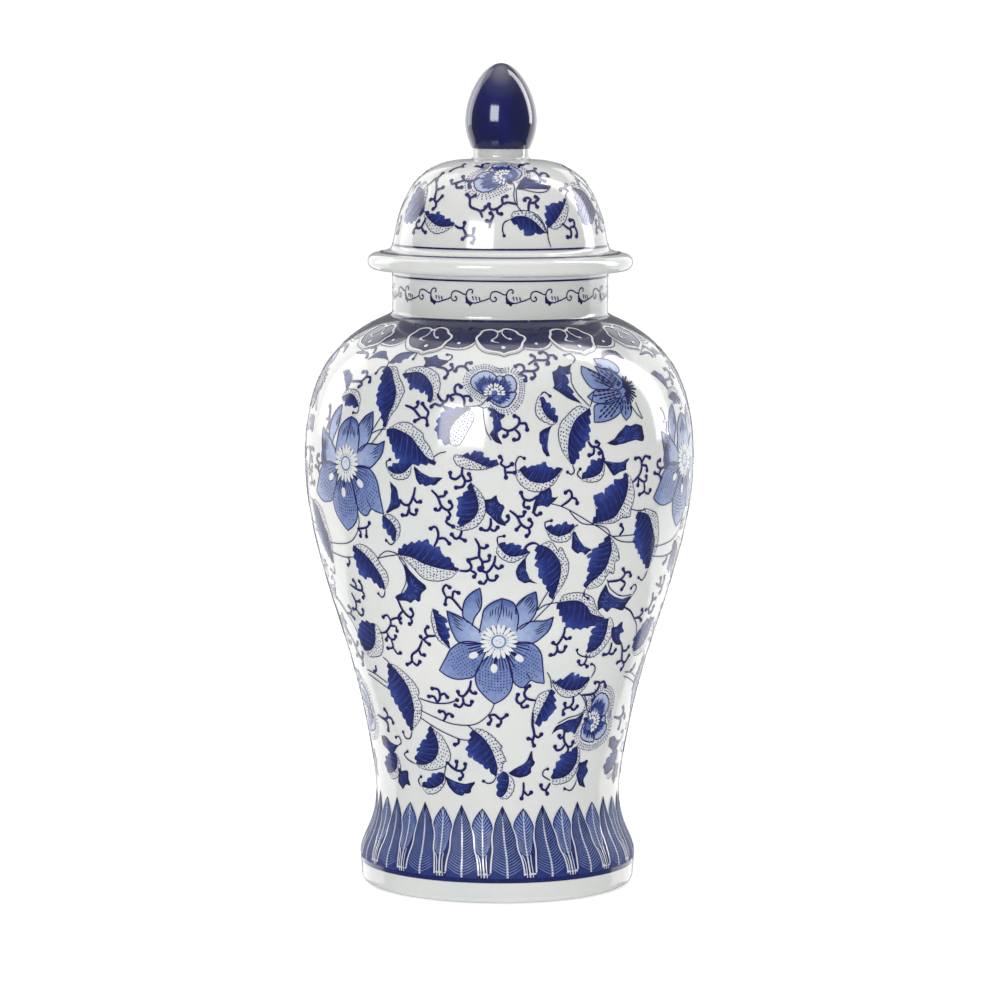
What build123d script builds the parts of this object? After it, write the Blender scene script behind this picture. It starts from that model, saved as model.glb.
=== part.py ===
"""Lidded temple jar (ginger jar): a hollow baluster vessel, a domed lid with a locating skirt,
and an egg-shaped knob set into the lid's collar.

Millimetres, +Z up, origin at the centre of the foot. Profile points are (radius, height).
"""

import os

from build123d import *

# Heights above the table.
JAR_HEIGHT = 457.0
SEAT_Z = 343.0  # top of the neck, where the lid's rim rests
NECK_ROOT_Z = 320.5
COLLAR_TOP_Z = 410.0  # top of the lid's collar, where the knob rests

# Vessel.
BODY_WALL = 5.5
FOOT_FACE_RADIUS = 71.5  # outer edge of the flat ring that stands on the table
FOOT_ROUND = 4.6
RECESS_RADIUS = 61.0
RECESS_DEPTH = 5.0
RECESS_ROUND = 2.5
FLOOR_Z = 12.0
FLOOR_CORNER_RADIUS = 58.0  # where the flat floor turns up into the wall
NECK_RADIUS = 59.8
LIP_ROUND = 1.4
OUTSIDE_CURVE = [  # from the top of the foot's band, by waist and belly, to the neck's root
    (76.8, 16.5),
    (75.6, 22.0),
    (71.7, 31.0),
    (68.5, 43.0),
    (68.5, 59.0),
    (71.7, 80.0),
    (77.3, 107.0),
    (85.5, 136.2),
    (94.6, 165.1),
    (102.6, 194.5),
    (107.2, 221.5),
    (107.8, 249.0),
    (103.8, 273.4),
    (97.1, 289.3),
    (87.2, 301.6),
    (75.6, 310.7),
    (63.4, 317.0),
]

# Lid.
LID_WALL = 5.0
RIM_RADIUS = 73.6
RIM_BEAD = 4.5  # radius of the rolled edge
RIM_TOP = (63.4, 353.4)  # where the rim's upper face turns up into the dome
DOME_FOOT = (59.5, 358.2)
DOME_CROWN = (22.0, 403.7)
DOME_RISE = (55.8, 378.0)  # control points that give the dome its fullness
DOME_SHOULDER = (50.8, 401.0)
COLLAR_RADIUS = 15.2
COLLAR_ROOT_Z = 406.4
SKIRT_CLEARANCE = 2.2  # gap all round between the skirt and the neck's bore
SKIRT_WALL = 4.5
SKIRT_DEPTH = 16.0
SKIRT_ROUND = 1.6

# Knob.
KNOB_BASE_RADIUS = 15.9
KNOB_RADIUS = 19.7
KNOB_WIDEST_Z = 425.0
KNOB_POINT = 0.86  # under 1 draws the egg's upper half in towards its tip
KNOB_WALL = 4.6
TENON_RADIUS = 8.5
TENON_DEPTH = 8.0
SOCKET_CLEARANCE = 0.15
VENT_RADIUS = 3.0  # lets air out of the hollow knob during firing

QUARTER_ARC = 0.5523  # control length that makes a cubic curve follow a quarter ellipse
UP = (Align.CENTER, Align.CENTER, Align.MIN)
DOWN = (Align.CENTER, Align.CENTER, Align.MAX)


def turned(*lines):
    """A solid of revolution about Z from lines that close a profile in the radius-height plane."""
    outline = Wire([edge for line in lines for edge in line.edges()])
    return revolve(make_face(Plane.XZ * outline), Axis.Z)


def inward(curve, distance, count):
    """Points along a curve, each moved this far to the left of the way the curve runs."""
    moved = []
    for step in range(count + 1):
        place, along = curve @ (step / count), curve % (step / count)
        moved.append((place.X - along.Y * distance, place.Y + along.X * distance))
    return moved


def outside_curve():
    return Spline(*OUTSIDE_CURVE)


def body_solid():
    """The vessel with nothing cut out: foot, waist, belly, shoulder and neck."""
    curve = outside_curve()
    foot_radius = FOOT_FACE_RADIUS + FOOT_ROUND
    edge = CenterArc((FOOT_FACE_RADIUS, FOOT_ROUND), FOOT_ROUND, -90, 90)
    band = Line((foot_radius, FOOT_ROUND), curve @ 0)
    root = Spline(curve @ 1, (NECK_RADIUS, NECK_ROOT_Z), tangents=[curve % 1, (0, 1)])
    neck = Line(root @ 1, (NECK_RADIUS, SEAT_Z))
    top = Line(neck @ 1, (0, SEAT_Z))
    axis = Line(top @ 1, (0, 0))
    under = Line(axis @ 1, edge @ 0)
    return turned(edge, band, curve, root, neck, top, axis, under)


def body_hollow():
    """The space inside the vessel, one wall's thickness within the outside."""
    bore = NECK_RADIUS - BODY_WALL
    wall = Spline(*inward(outside_curve(), BODY_WALL, 14)[1:])
    corner = Spline((FLOOR_CORNER_RADIUS, FLOOR_Z), wall @ 0, tangents=[(1, 0), wall % 0])
    throat = Spline(wall @ 1, (bore, NECK_ROOT_Z + BODY_WALL), tangents=[wall % 1, (0, 1)])
    neck = Line(throat @ 1, (bore, SEAT_Z))
    mouth = Line(neck @ 1, (0, SEAT_Z))
    axis = Line(mouth @ 1, (0, FLOOR_Z))
    floor = Line(axis @ 1, corner @ 0)
    return turned(corner, wall, throat, neck, mouth, axis, floor)


def jar_body():
    recess = Cylinder(RECESS_RADIUS, RECESS_DEPTH, align=UP)
    recess = fillet(recess.edges().sort_by(Axis.Z)[-1], RECESS_ROUND)
    body = body_solid() - body_hollow() - recess
    lip = body.edges().filter_by(GeomType.CIRCLE).filter_by_position(Axis.Z, SEAT_Z, SEAT_Z)
    return fillet(lip, LIP_ROUND)


def dome_curve():
    return Bezier(DOME_FOOT, DOME_RISE, DOME_SHOULDER, DOME_CROWN)


def lid_solid():
    """The lid's outside: rolled rim, dome and collar, closed flat at the seat."""
    dome = dome_curve()
    bead = CenterArc((RIM_RADIUS - RIM_BEAD, SEAT_Z + RIM_BEAD), RIM_BEAD, -90, 180)
    rim = Line(bead @ 1, RIM_TOP)
    foot = Spline(rim @ 1, dome @ 0, tangents=[rim % 1, dome % 0])
    root = Spline(dome @ 1, (COLLAR_RADIUS, COLLAR_ROOT_Z), tangents=[dome % 1, (0, 1)])
    collar = Line(root @ 1, (COLLAR_RADIUS, COLLAR_TOP_Z))
    top = Line(collar @ 1, (0, COLLAR_TOP_Z))
    axis = Line(top @ 1, (0, SEAT_Z))
    seat = Line(axis @ 1, bead @ 0)
    return turned(bead, rim, foot, dome, root, collar, top, axis, seat)


def lid_hollow(skirt_inside):
    """The space under the dome, down to the seat."""
    dome = Spline(*inward(dome_curve(), LID_WALL, 8))
    crown = Line(dome @ 1, (0, (dome @ 1).Y))
    axis = Line(crown @ 1, (0, SEAT_Z))
    seat = Line(axis @ 1, (skirt_inside, SEAT_Z))
    side = Line(seat @ 1, dome @ 0)
    return turned(dome, crown, axis, seat, side)


def lid():
    skirt_outside = NECK_RADIUS - BODY_WALL - SKIRT_CLEARANCE
    skirt_inside = skirt_outside - SKIRT_WALL
    socket_radius = TENON_RADIUS + SOCKET_CLEARANCE
    skirt = Pos(0, 0, SEAT_Z) * Cylinder(skirt_outside, SKIRT_DEPTH, align=DOWN)
    bore = Pos(0, 0, SEAT_Z) * Cylinder(skirt_inside, SKIRT_DEPTH, align=DOWN)
    socket = Pos(0, 0, COLLAR_TOP_Z) * Cylinder(socket_radius, COLLAR_TOP_Z - SEAT_Z, align=DOWN)
    cover = lid_solid() + skirt - bore - lid_hollow(skirt_inside) - socket
    skirt_foot = cover.edges().filter_by(GeomType.CIRCLE).group_by(Axis.Z)[0]
    return fillet(skirt_foot, SKIRT_ROUND)


def knob_curves():
    """The egg's outside, as one curve up to its widest and one from there to its tip."""
    rise = KNOB_WIDEST_Z - COLLAR_TOP_Z
    crown = JAR_HEIGHT - KNOB_WIDEST_Z
    widest = (KNOB_RADIUS, KNOB_WIDEST_Z)
    below = Bezier(
        (KNOB_BASE_RADIUS, COLLAR_TOP_Z),
        (KNOB_BASE_RADIUS + 0.45 * (KNOB_RADIUS - KNOB_BASE_RADIUS), COLLAR_TOP_Z + 0.25 * rise),
        (KNOB_RADIUS, KNOB_WIDEST_Z - 0.4 * rise),
        widest,
    )
    above = Bezier(
        widest,
        (KNOB_RADIUS, KNOB_WIDEST_Z + KNOB_POINT * QUARTER_ARC * crown),
        (KNOB_POINT * QUARTER_ARC * KNOB_RADIUS, JAR_HEIGHT),
        (0, JAR_HEIGHT),
    )
    return below, above


def finial():
    """The hollow egg-shaped knob, with the tenon and vent that its base is made with."""
    below, above = knob_curves()
    base = Line((0, COLLAR_TOP_Z), below @ 0)
    axis = Line(above @ 1, base @ 0)
    egg = turned(below, above, axis, base)
    points = inward(below, KNOB_WALL, 2)[1:-1] + inward(above, KNOB_WALL, 4)
    inside = Spline(*points, tangents=[below % 0.5, (-1, 0)])
    inside_floor = Line((0, (inside @ 0).Y), inside @ 0)
    inside_axis = Line(inside @ 1, inside_floor @ 0)
    hollow = turned(inside, inside_axis, inside_floor)
    tenon = Pos(0, 0, COLLAR_TOP_Z) * Cylinder(TENON_RADIUS, TENON_DEPTH, align=DOWN)
    vent = Pos(0, 0, KNOB_WIDEST_Z) * Cylinder(VENT_RADIUS, TENON_DEPTH + KNOB_WIDEST_Z, align=DOWN)
    return egg + tenon - hollow - vent


def main():
    os.makedirs("parts", exist_ok=True)
    for node in (jar_body, lid, finial):
        export_step(node(), f"parts/{node.__name__}.step")


main()
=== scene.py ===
"""Ginger jar: the painted decoration, the glaze, the light and the camera around the CAD frame.

The decoration is drawn on the unrolled outside of the jar and the lid. A place there is (a, s):
a is the angle in degrees, 0 at the front and growing to the right, and s is the distance in
millimetres up the outside, from the foot's edge on the jar and from the rim's underside on the lid.
Each painted layer is a thin film that lies on the glaze."""

import math
import random

import bpy
import numpy as np
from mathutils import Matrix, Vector
from mathutils.geometry import delaunay_2d_cdt


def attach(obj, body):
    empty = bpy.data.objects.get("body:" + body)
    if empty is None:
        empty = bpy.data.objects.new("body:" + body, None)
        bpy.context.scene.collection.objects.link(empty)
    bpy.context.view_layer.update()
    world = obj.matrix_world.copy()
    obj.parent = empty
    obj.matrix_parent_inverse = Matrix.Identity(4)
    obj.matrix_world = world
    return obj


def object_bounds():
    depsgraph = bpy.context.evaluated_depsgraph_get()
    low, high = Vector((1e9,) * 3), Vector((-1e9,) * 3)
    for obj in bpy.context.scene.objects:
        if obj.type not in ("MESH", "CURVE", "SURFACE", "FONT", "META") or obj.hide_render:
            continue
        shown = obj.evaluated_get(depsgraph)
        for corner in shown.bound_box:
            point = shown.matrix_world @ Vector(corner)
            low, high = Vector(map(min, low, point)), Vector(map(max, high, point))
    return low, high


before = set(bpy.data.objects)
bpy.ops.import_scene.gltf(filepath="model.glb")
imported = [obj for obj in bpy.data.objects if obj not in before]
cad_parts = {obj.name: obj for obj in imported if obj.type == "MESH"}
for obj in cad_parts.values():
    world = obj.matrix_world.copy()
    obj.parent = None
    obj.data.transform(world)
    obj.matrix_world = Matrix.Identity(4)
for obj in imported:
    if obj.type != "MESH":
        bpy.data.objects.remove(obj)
CAD_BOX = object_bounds()

MM = 0.001
DEG = math.pi / 180

# How far each painted layer stands off the glaze, in millimetres.
WASH_LIFT = 0.06
DARK_LIFT = 0.14
GRAIN_LIFT = 0.23
LINE_LIFT = 0.28
WHITE_LIFT = 0.33
TOP_LIFT = 0.38
PETAL_RISE = 0.02                 # each petal lies this much over the one before

# Tones run from 0, bare white, to 1, the darkest cobalt.
WHITE = 0.0
LIGHT = 0.33
MID = 0.55
THIN = 0.68
DEEP = 0.78
DARK = 0.92
NIGHT = 1.0

SECTOR = 120                      # the flowers and leaves repeat three times round the jar
REPEATS = 360 // SECTOR
COLLAR_COUNT = 12
FOOT_COUNT = 19
NECK_COUNT = 17

LID_LOWEST = 343.001              # the lid's outside begins just above its flat underside, in mm
LID_START = 0.67                  # and its distance s is counted from that underside
JAR_RINGS = ((369.2, 1.0),)       # painted rings: distance s and width
# on the lid, the ring at s 25.3 is a painted blue line; the wider dark ring at s 17.2 is painted shade in
# the brim's groove
LID_RING_AND_GROOVE_SHADE = ((25.3, 1.1), (17.2, 1.7))
FOOT_BAND = (15.8, 2.6)

SCROLL_WEIGHT = 1.5               # widths of the brush and radii of the balls that end its lines
SCROLL_BALL = 1.25
HOOK_WEIGHT = 0.8
HOOK_BALL = 0.95
TOOTH_DEPTH = 1.7
PATH_STEP = 1.5                   # millimetres between the points of a leaf's edges
BRUSH_PITCH = 1.25                # and between the brush strokes along its spine
DOT_ROW_PITCH = 1.9               # the dotted half: between its rows, and in a row
DOT_PITCH = 1.6
rng = random.Random(7)


# ---------------------------------------------------------------- unrolled surfaces

class Skin:
    """The outside of a round CAD node, unrolled to (a, s). Its lowest ring is at s = start."""

    FACES_OUT = 0.05              # less than this, and a vertex is on a flat or an inner face

    def __init__(self, node, lowest, body, start=0.0):
        self.body = body
        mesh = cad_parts[node].data
        rings = {}
        for vertex in mesh.vertices:
            x, y, z = (c / MM for c in vertex.co)
            radius = math.hypot(x, y)
            outward = (vertex.normal.x * x + vertex.normal.y * y) / max(radius, 1e-6)
            if z >= lowest and outward > self.FACES_OUT:
                rings[round(z, 2)] = max(rings.get(round(z, 2), 0), radius)
        self.z = np.array(sorted(rings))
        self.r = np.array([rings[z] for z in self.z])
        self.s = np.concatenate([[0], np.cumsum(np.hypot(np.diff(self.r), np.diff(self.z)))]) + start

    def radius(self, s):
        return float(np.interp(s, self.s, self.r))

    def place(self, a, s, lift):
        """Points and normals, in metres, of the places (a, s) at a height above the glaze."""
        r = np.interp(s, self.s, self.r)
        z = np.interp(s, self.s, self.z)
        step = 0.8
        dr = np.interp(s + step, self.s, self.r) - np.interp(s - step, self.s, self.r)
        dz = np.interp(s + step, self.s, self.z) - np.interp(s - step, self.s, self.z)
        size = np.maximum(np.hypot(dr, dz), 1e-9)
        out, up = dz / size, -dr / size
        turn = a * DEG
        normal = np.stack([out * np.sin(turn), -out * np.cos(turn), up], 1)
        point = np.stack([r * np.sin(turn), -r * np.cos(turn), z], 1) + lift * normal
        return point * MM, normal


# ---------------------------------------------------------------- curves in the plane

def smooth(points, pieces=6):
    """A round curve through the points."""
    p = np.array(points, float)
    if len(p) < 3:
        return p
    p = np.vstack([2 * p[0] - p[1], p, 2 * p[-1] - p[-2]])
    curve = []
    for i in range(1, len(p) - 2):
        for t in np.linspace(0, 1, pieces, endpoint=False):
            curve.append(0.5 * (2 * p[i] + (p[i + 1] - p[i - 1]) * t
                                + (2 * p[i - 1] - 5 * p[i] + 4 * p[i + 1] - p[i + 2]) * t ** 2
                                + (3 * p[i] - p[i - 1] - 3 * p[i + 1] + p[i + 2]) * t ** 3))
    curve.append(p[-2])
    return np.array(curve)


def resample(path, step):
    """The same path with points about one step apart."""
    path = np.array(path, float)
    length = np.concatenate([[0], np.cumsum(np.hypot(*np.diff(path, axis=0).T))])
    count = max(2, int(math.ceil(length[-1] / step)) + 1)
    at = np.linspace(0, length[-1], count)
    return np.stack([np.interp(at, length, path[:, 0]), np.interp(at, length, path[:, 1])], 1)


def sides(path):
    """Unit vectors to the left of a path at each of its points."""
    ahead = np.gradient(path, axis=0)
    ahead /= np.maximum(np.hypot(ahead[:, 0], ahead[:, 1]), 1e-9)[:, None]
    return np.stack([-ahead[:, 1], ahead[:, 0]], 1)


def serrate(edge, depth, pitch=4.6):
    """A toothed leaf edge: each tooth rises slowly and drops at once, the way the edge runs."""
    path = resample(edge, pitch / 4)
    out = sides(path)
    saw = np.array([0.0, 0.35, 0.8, 1.0])
    bump = saw[np.arange(len(path)) % 4] * depth
    bump[0] = bump[-1] = 0
    return path + out * bump[:, None]


def scallop(path, pitch, depth):
    """A wavy edge: the path with round bumps to its left."""
    path = resample(path, pitch / 6)
    bump = depth * np.abs(np.sin(np.arange(len(path)) * math.pi / 6))
    return path + sides(path) * bump[:, None]


# ---------------------------------------------------------------- painted films

class Film:
    """Painted shapes on one skin, gathered into one mesh. Shapes are given in (a, s)."""

    THINNING = 0.25               # the share of a line over which each end thins

    def __init__(self, skin, lift):
        self.skin = skin
        self.lift = lift
        self.places = []
        self.tones = []
        self.faces = []
        self.rises = []
        self.rise = 0                 # added to the lift of what is drawn next
        self.count = 0

    def add(self, places, faces, tones):
        self.places.append(np.array(places, float))
        self.rises.append(np.full(len(places), self.rise, float))
        self.tones.append(np.broadcast_to(np.array(tones, float), (len(places),)))
        self.faces.extend([tuple(i + self.count for i in face) for face in faces])
        self.count += len(places)

    def scale(self, points):
        """Millimetres per degree at the middle of some places."""
        return self.skin.radius(float(np.mean([p[1] for p in points]))) * DEG

    def stroke(self, points, width, tone=DARK, ball=0.0, taper=0.5, end=0.35, curved=True):
        """A brush line. It starts and ends thinner, or ends in a round ball."""
        k = self.scale(points)
        path = np.array([(a * k, s) for a, s in points], float)
        path = resample(smooth(path) if curved else path, 1.3)
        n = len(path)
        share = np.linspace(0, 1, n)
        half = 0.5 * width * np.minimum(1, taper + (1 - taper) * share / self.THINNING)
        if not ball:
            half *= np.minimum(1, end + (1 - end) * (1 - share) / self.THINNING)
        out = sides(path) * half[:, None]
        both = np.vstack([path + out, path - out])
        faces = [(i, n + i, n + i + 1, i + 1) for i in range(n - 1)]
        self.add(both / (k, 1), faces, tone)
        if ball:
            self.dot(points[-1], ball, tone)

    def ring(self, s, width, tone=DARK):
        """A line all the way round."""
        turns = 240
        a = np.linspace(0, 360, turns, endpoint=False)
        low = np.stack([a, np.full(turns, s - width / 2)], 1)
        high = np.stack([a, np.full(turns, s + width / 2)], 1)
        faces = [(i, (i + 1) % turns, turns + (i + 1) % turns, turns + i) for i in range(turns)]
        self.add(np.vstack([low, high]), faces, tone)

    def dot(self, place, radius, tone=DARK, stretch=1.0, lean=0.0):
        """A round spot, or an oval one that leans by an angle in degrees."""
        k = self.skin.radius(place[1]) * DEG
        corners = 6 if radius < 0.6 else 12
        turn = np.linspace(0, 2 * math.pi, corners, endpoint=False)
        x = radius * stretch * np.cos(turn)
        y = radius * np.sin(turn)
        cos, sin = math.cos(lean * DEG), math.sin(lean * DEG)
        ring = np.stack([place[0] + (x * cos - y * sin) / k, place[1] + x * sin + y * cos], 1)
        self.add(ring, [tuple(range(corners))], tone)

    def fill(self, outline, tone, shade=None, grid=3.0):
        """A filled shape. shade, if any, gives the tone from the places (a, s)."""
        k = self.scale(outline)
        edge = np.array([(a * k, s) for a, s in outline], float)
        edge = resample(np.vstack([edge, edge[:1]]), 2.0)[:-1]
        low, high = edge.min(0) + grid / 2, edge.max(0)
        inner = [(x, y) for x in np.arange(low[0], high[0], grid)
                 for y in np.arange(low[1], high[1], grid)]
        inner = [p for p in inner if np.min(np.hypot(*(edge - p).T)) > 0.4 * grid]
        points = [Vector(p) for p in list(map(tuple, edge)) + inner]
        verts, _, faces, _, _, _ = delaunay_2d_cdt(points, [], [list(range(len(edge)))], 1, 1e-4)
        places = np.array([(v[0] / k, v[1]) for v in verts])
        if not len(places):
            return
        tones = tone if shade is None else np.clip(shade(places), 0, 1)
        self.add(places, faces, tones)

    def repeat(self, count):
        """Copies what is drawn so far round the axis, count times in all."""
        places = np.concatenate(self.places)
        tones = np.concatenate(self.tones)
        rises = np.concatenate(self.rises)
        size, faces = self.count, list(self.faces)
        for i in range(1, count):
            turned = places + (360 * i / count, 0)
            self.places.append(turned)
            self.tones.append(tones)
            self.rises.append(rises)
            self.faces.extend([tuple(v + i * size for v in face) for face in faces])
        self.count = size * count

    def piece(self, name, material, slot):
        """The finished mesh object, riding on its body."""
        places = np.concatenate(self.places)
        lift = self.lift + np.concatenate(self.rises)[:, None]
        points, normals = self.skin.place(places[:, 0], places[:, 1], lift)
        faces = [self.facing_out(face, points, normals) for face in self.faces]
        mesh = bpy.data.meshes.new(name)
        mesh.from_pydata(points.tolist(), [], faces)
        tone = mesh.attributes.new("tone", "FLOAT", "POINT")
        tone.data.foreach_set("value", np.concatenate(self.tones).astype(np.float32))
        mesh.validate()
        mesh.shade_smooth()
        mesh.normals_split_custom_set_from_vertices(normals.tolist())
        mesh.materials.append(material)
        piece = bpy.data.objects.new(name, mesh)
        bpy.context.scene.collection.objects.link(piece)
        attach(piece, self.skin.body)
        return piece

    @staticmethod
    def facing_out(face, points, normals):
        """The face with its corners in the order that makes it face away from the glaze."""
        a, b, c = points[face[0]], points[face[1]], points[face[2]]
        return face if np.dot(np.cross(b - a, c - a), normals[face[0]]) > 0 else face[::-1]


# ---------------------------------------------------------------- materials

def srgb(code):
    """Linear colour from a hexadecimal one."""
    parts = [int(code[i:i + 2], 16) / 255 for i in (0, 2, 4)]
    return tuple(p / 12.92 if p < 0.04045 else ((p + 0.055) / 1.055) ** 2.4 for p in parts) + (1,)


COAT_WEIGHT = 0.3
COAT_ROUGHNESS = 0.035
GLASS_IOR = 1.5
PAINT_ROUGHNESS = 0.14
DULL_ROUGHNESS = 0.5
DULL_SPECULAR = 0.3
COBALT_STOPS = ((0.00, "dee0de"), (0.12, "c3cde2"), (0.33, "8799c4"), (0.55, "4f649f"),
                (0.74, "223684"), (0.90, "0f1b60"), (1.00, "0b0f44"))


def new_material(name):
    """A node material with a thin clear coat, and its nodes, links and shader."""
    material = bpy.data.materials.new(name)
    material.use_nodes = True
    nodes = material.node_tree.nodes
    shader = nodes["Principled BSDF"]
    shader.inputs["Coat Weight"].default_value = COAT_WEIGHT
    shader.inputs["Coat Roughness"].default_value = COAT_ROUGHNESS
    shader.inputs["Coat IOR"].default_value = GLASS_IOR
    shader.inputs["IOR"].default_value = GLASS_IOR
    return material, nodes, material.node_tree.links, shader


def noise(nodes, links, scale, detail=3.0, stretch=(1, 1, 1)):
    """Noise in the object's own space, in features per metre."""
    place = nodes.new("ShaderNodeTexCoord")
    mapping = nodes.new("ShaderNodeMapping")
    mapping.inputs["Scale"].default_value = stretch
    texture = nodes.new("ShaderNodeTexNoise")
    texture.inputs["Scale"].default_value = scale
    texture.inputs["Detail"].default_value = detail
    links.new(place.outputs["Object"], mapping.inputs["Vector"])
    links.new(mapping.outputs["Vector"], texture.inputs["Vector"])
    return texture.outputs["Fac"]


def ramp(nodes, links, value, stops):
    """A colour ramp through (position, colour) stops."""
    node = nodes.new("ShaderNodeValToRGB")
    elements = node.color_ramp.elements
    while len(elements) < len(stops):
        elements.new(0.5)
    for element, (at, colour) in zip(elements, stops):
        element.position = at
        element.color = colour
    links.new(value, node.inputs["Fac"])
    return node.outputs["Color"]


def map_range(nodes, links, value, low, high):
    """Noise, which mostly lies between 0.3 and 0.7, stretched over another range."""
    node = nodes.new("ShaderNodeMapRange")
    node.inputs["From Min"].default_value = 0.3
    node.inputs["From Max"].default_value = 0.7
    node.inputs["To Min"].default_value = low
    node.inputs["To Max"].default_value = high
    links.new(value, node.inputs["Value"])
    return node.outputs["Result"]


def add_bump(nodes, links, shader, height, strength, distance):
    """Small unevenness of the surface, its distance in metres."""
    bump = nodes.new("ShaderNodeBump")
    bump.inputs["Strength"].default_value = strength
    bump.inputs["Distance"].default_value = distance
    links.new(height, bump.inputs["Height"])
    links.new(bump.outputs["Normal"], shader.inputs["Normal"])


def porcelain():
    """Bright milk-white glaze with faint grey-green clouds and a slight orange peel."""
    material, nodes, links, shader = new_material("porcelain_glaze")
    clouds = noise(nodes, links, 14, 4)
    colour = ramp(nodes, links, clouds, [
        (0.3, srgb("d5d9d6")), (0.5, srgb("dcdedb")), (0.72, srgb("e1e1dd"))])
    links.new(colour, shader.inputs["Base Color"])
    links.new(map_range(nodes, links, noise(nodes, links, 60), 0.10, 0.17), shader.inputs["Roughness"])
    add_bump(nodes, links, shader, noise(nodes, links, 75, 2), 0.05, 0.0004)
    return material


def cobalt_knob():
    """Solid cobalt glaze of the finial, darker where it pools."""
    material, nodes, links, shader = new_material("cobalt_glaze_deep")
    pools = noise(nodes, links, 55, 4, (1, 1, 0.45))
    colour = ramp(nodes, links, pools, [(0.3, srgb("04063c")), (0.55, srgb("070b50")),
                                        (0.75, srgb("0e1666"))])
    links.new(colour, shader.inputs["Base Color"])
    links.new(map_range(nodes, links, noise(nodes, links, 90), 0.07, 0.13), shader.inputs["Roughness"])
    add_bump(nodes, links, shader, noise(nodes, links, 110, 2), 0.05, 0.0004)
    return material


def brushed_cobalt(name, wander=0.10, glossy=True):
    """Underglaze blue: the tone painted on the film, made watery by noise. Dull has no clear coat."""
    material, nodes, links, shader = new_material(name)
    tone = nodes.new("ShaderNodeAttribute")
    tone.attribute_name = "tone"
    water = map_range(nodes, links, noise(nodes, links, 330, 3), -wander, wander)
    mixed = nodes.new("ShaderNodeMath")
    mixed.operation = "MULTIPLY_ADD"
    links.new(tone.outputs["Fac"], mixed.inputs[0])
    links.new(water, mixed.inputs[1])
    links.new(tone.outputs["Fac"], mixed.inputs[2])
    stops = [(at, srgb(code)) for at, code in COBALT_STOPS]
    colour = ramp(nodes, links, mixed.outputs["Value"], stops)
    links.new(colour, shader.inputs["Base Color"])
    shader.inputs["Roughness"].default_value = PAINT_ROUGHNESS if glossy else DULL_ROUGHNESS
    if not glossy:
        shader.inputs["Coat Weight"].default_value = 0
        shader.inputs["Specular IOR Level"].default_value = DULL_SPECULAR
    return material


def ink(name, code):
    """Fine brush lines of one strength, with uneven gloss where the colour lies thick."""
    material, nodes, links, shader = new_material(name)
    shader.inputs["Base Color"].default_value = srgb(code)
    links.new(map_range(nodes, links, noise(nodes, links, 200), 0.10, 0.22), shader.inputs["Roughness"])
    return material


# ---------------------------------------------------------------- brushwork

class Artwork:
    """The films of one skin, from the washes up to the white that is left bare on them."""

    def __init__(self, skin):
        self.skin = skin
        self.wash = Film(skin, WASH_LIFT)
        self.dark = Film(skin, DARK_LIFT)
        self.grain = Film(skin, GRAIN_LIFT)
        self.line = Film(skin, LINE_LIFT)
        self.fine = Film(skin, LINE_LIFT)
        self.white = Film(skin, WHITE_LIFT)
        self.top = Film(skin, TOP_LIFT)


def along(path, t):
    """The point at a share t of a path's points."""
    at = t * (len(path) - 1)
    i = min(int(at), len(path) - 2)
    return path[i] + (path[i + 1] - path[i]) * (at - i)


def same_way(path, guide):
    """The path, turned to run the same way as the guide."""
    path = np.array(path, float)
    start = np.array(guide[0], float)
    nearer = np.hypot(*(path[0] - start)) <= np.hypot(*(path[-1] - start))
    return path if nearer else path[::-1]


def inside(point, outline):
    """Whether a point lies in a closed outline."""
    x, y = point
    x0, y0 = outline[:, 0], outline[:, 1]
    x1, y1 = np.roll(x0, -1), np.roll(y0, -1)
    crosses = (y0 > y) != (y1 > y)
    with np.errstate(divide="ignore", invalid="ignore"):
        at = x0 + (y - y0) * (x1 - x0) / (y1 - y0)
    return bool(np.sum(crosses & (x < at)) % 2)


def brushed_half(art, spine, edge, teeth=True):
    """The dark half of a leaf: full colour along the spine, thinner towards a ragged edge."""
    k = art.dark.scale(spine)
    back = resample(smooth([(a * k, s) for a, s in spine]), PATH_STEP)
    rim = same_way([(a * k, s) for a, s in edge], back)
    rim = np.vstack([back[:1], rim, back[-1:]])
    rim = resample(rim, PATH_STEP)
    if teeth:
        middle = along(back, 0.5) - along(rim, 0.5)
        outward = np.sign(np.dot(sides(rim)[len(rim) // 2], -middle)) or 1
        rim = serrate(rim, TOOTH_DEPTH * outward)
    width = max(np.hypot(*(along(back, t) - along(rim, t))) for t in (0.3, 0.5, 0.7))

    def shade(places):
        flat = places * (k, 1)
        away = np.min(np.hypot(flat[:, None, 0] - back[None, :, 0], flat[:, None, 1] - back[None, :, 1]),
                      1)
        return DARK - (DARK - THIN) * np.clip(away / max(width, 4), 0, 1)

    art.dark.fill([(x / k, y) for x, y in np.vstack([back, rim[::-1]])], DARK, shade)
    strokes = int(len(back) * PATH_STEP / BRUSH_PITCH)
    for i in range(1, strokes):
        t = i / strokes
        root, tip = along(back, t), along(rim, min(1, t + 0.15))
        reach = rng.uniform(0.65, 0.95)
        middle = root + (tip - root) * 0.45 + (along(back, min(1, t + 0.05)) - root) * 0.3
        end = root + (tip - root) * reach
        if np.hypot(*(end - root)) > 1.6:
            tone = rng.uniform(0.68, 0.8) if i % 3 == 0 else NIGHT
            art.grain.stroke([(p[0] / k, p[1]) for p in (root, middle, end)], 0.4, tone)


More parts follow.
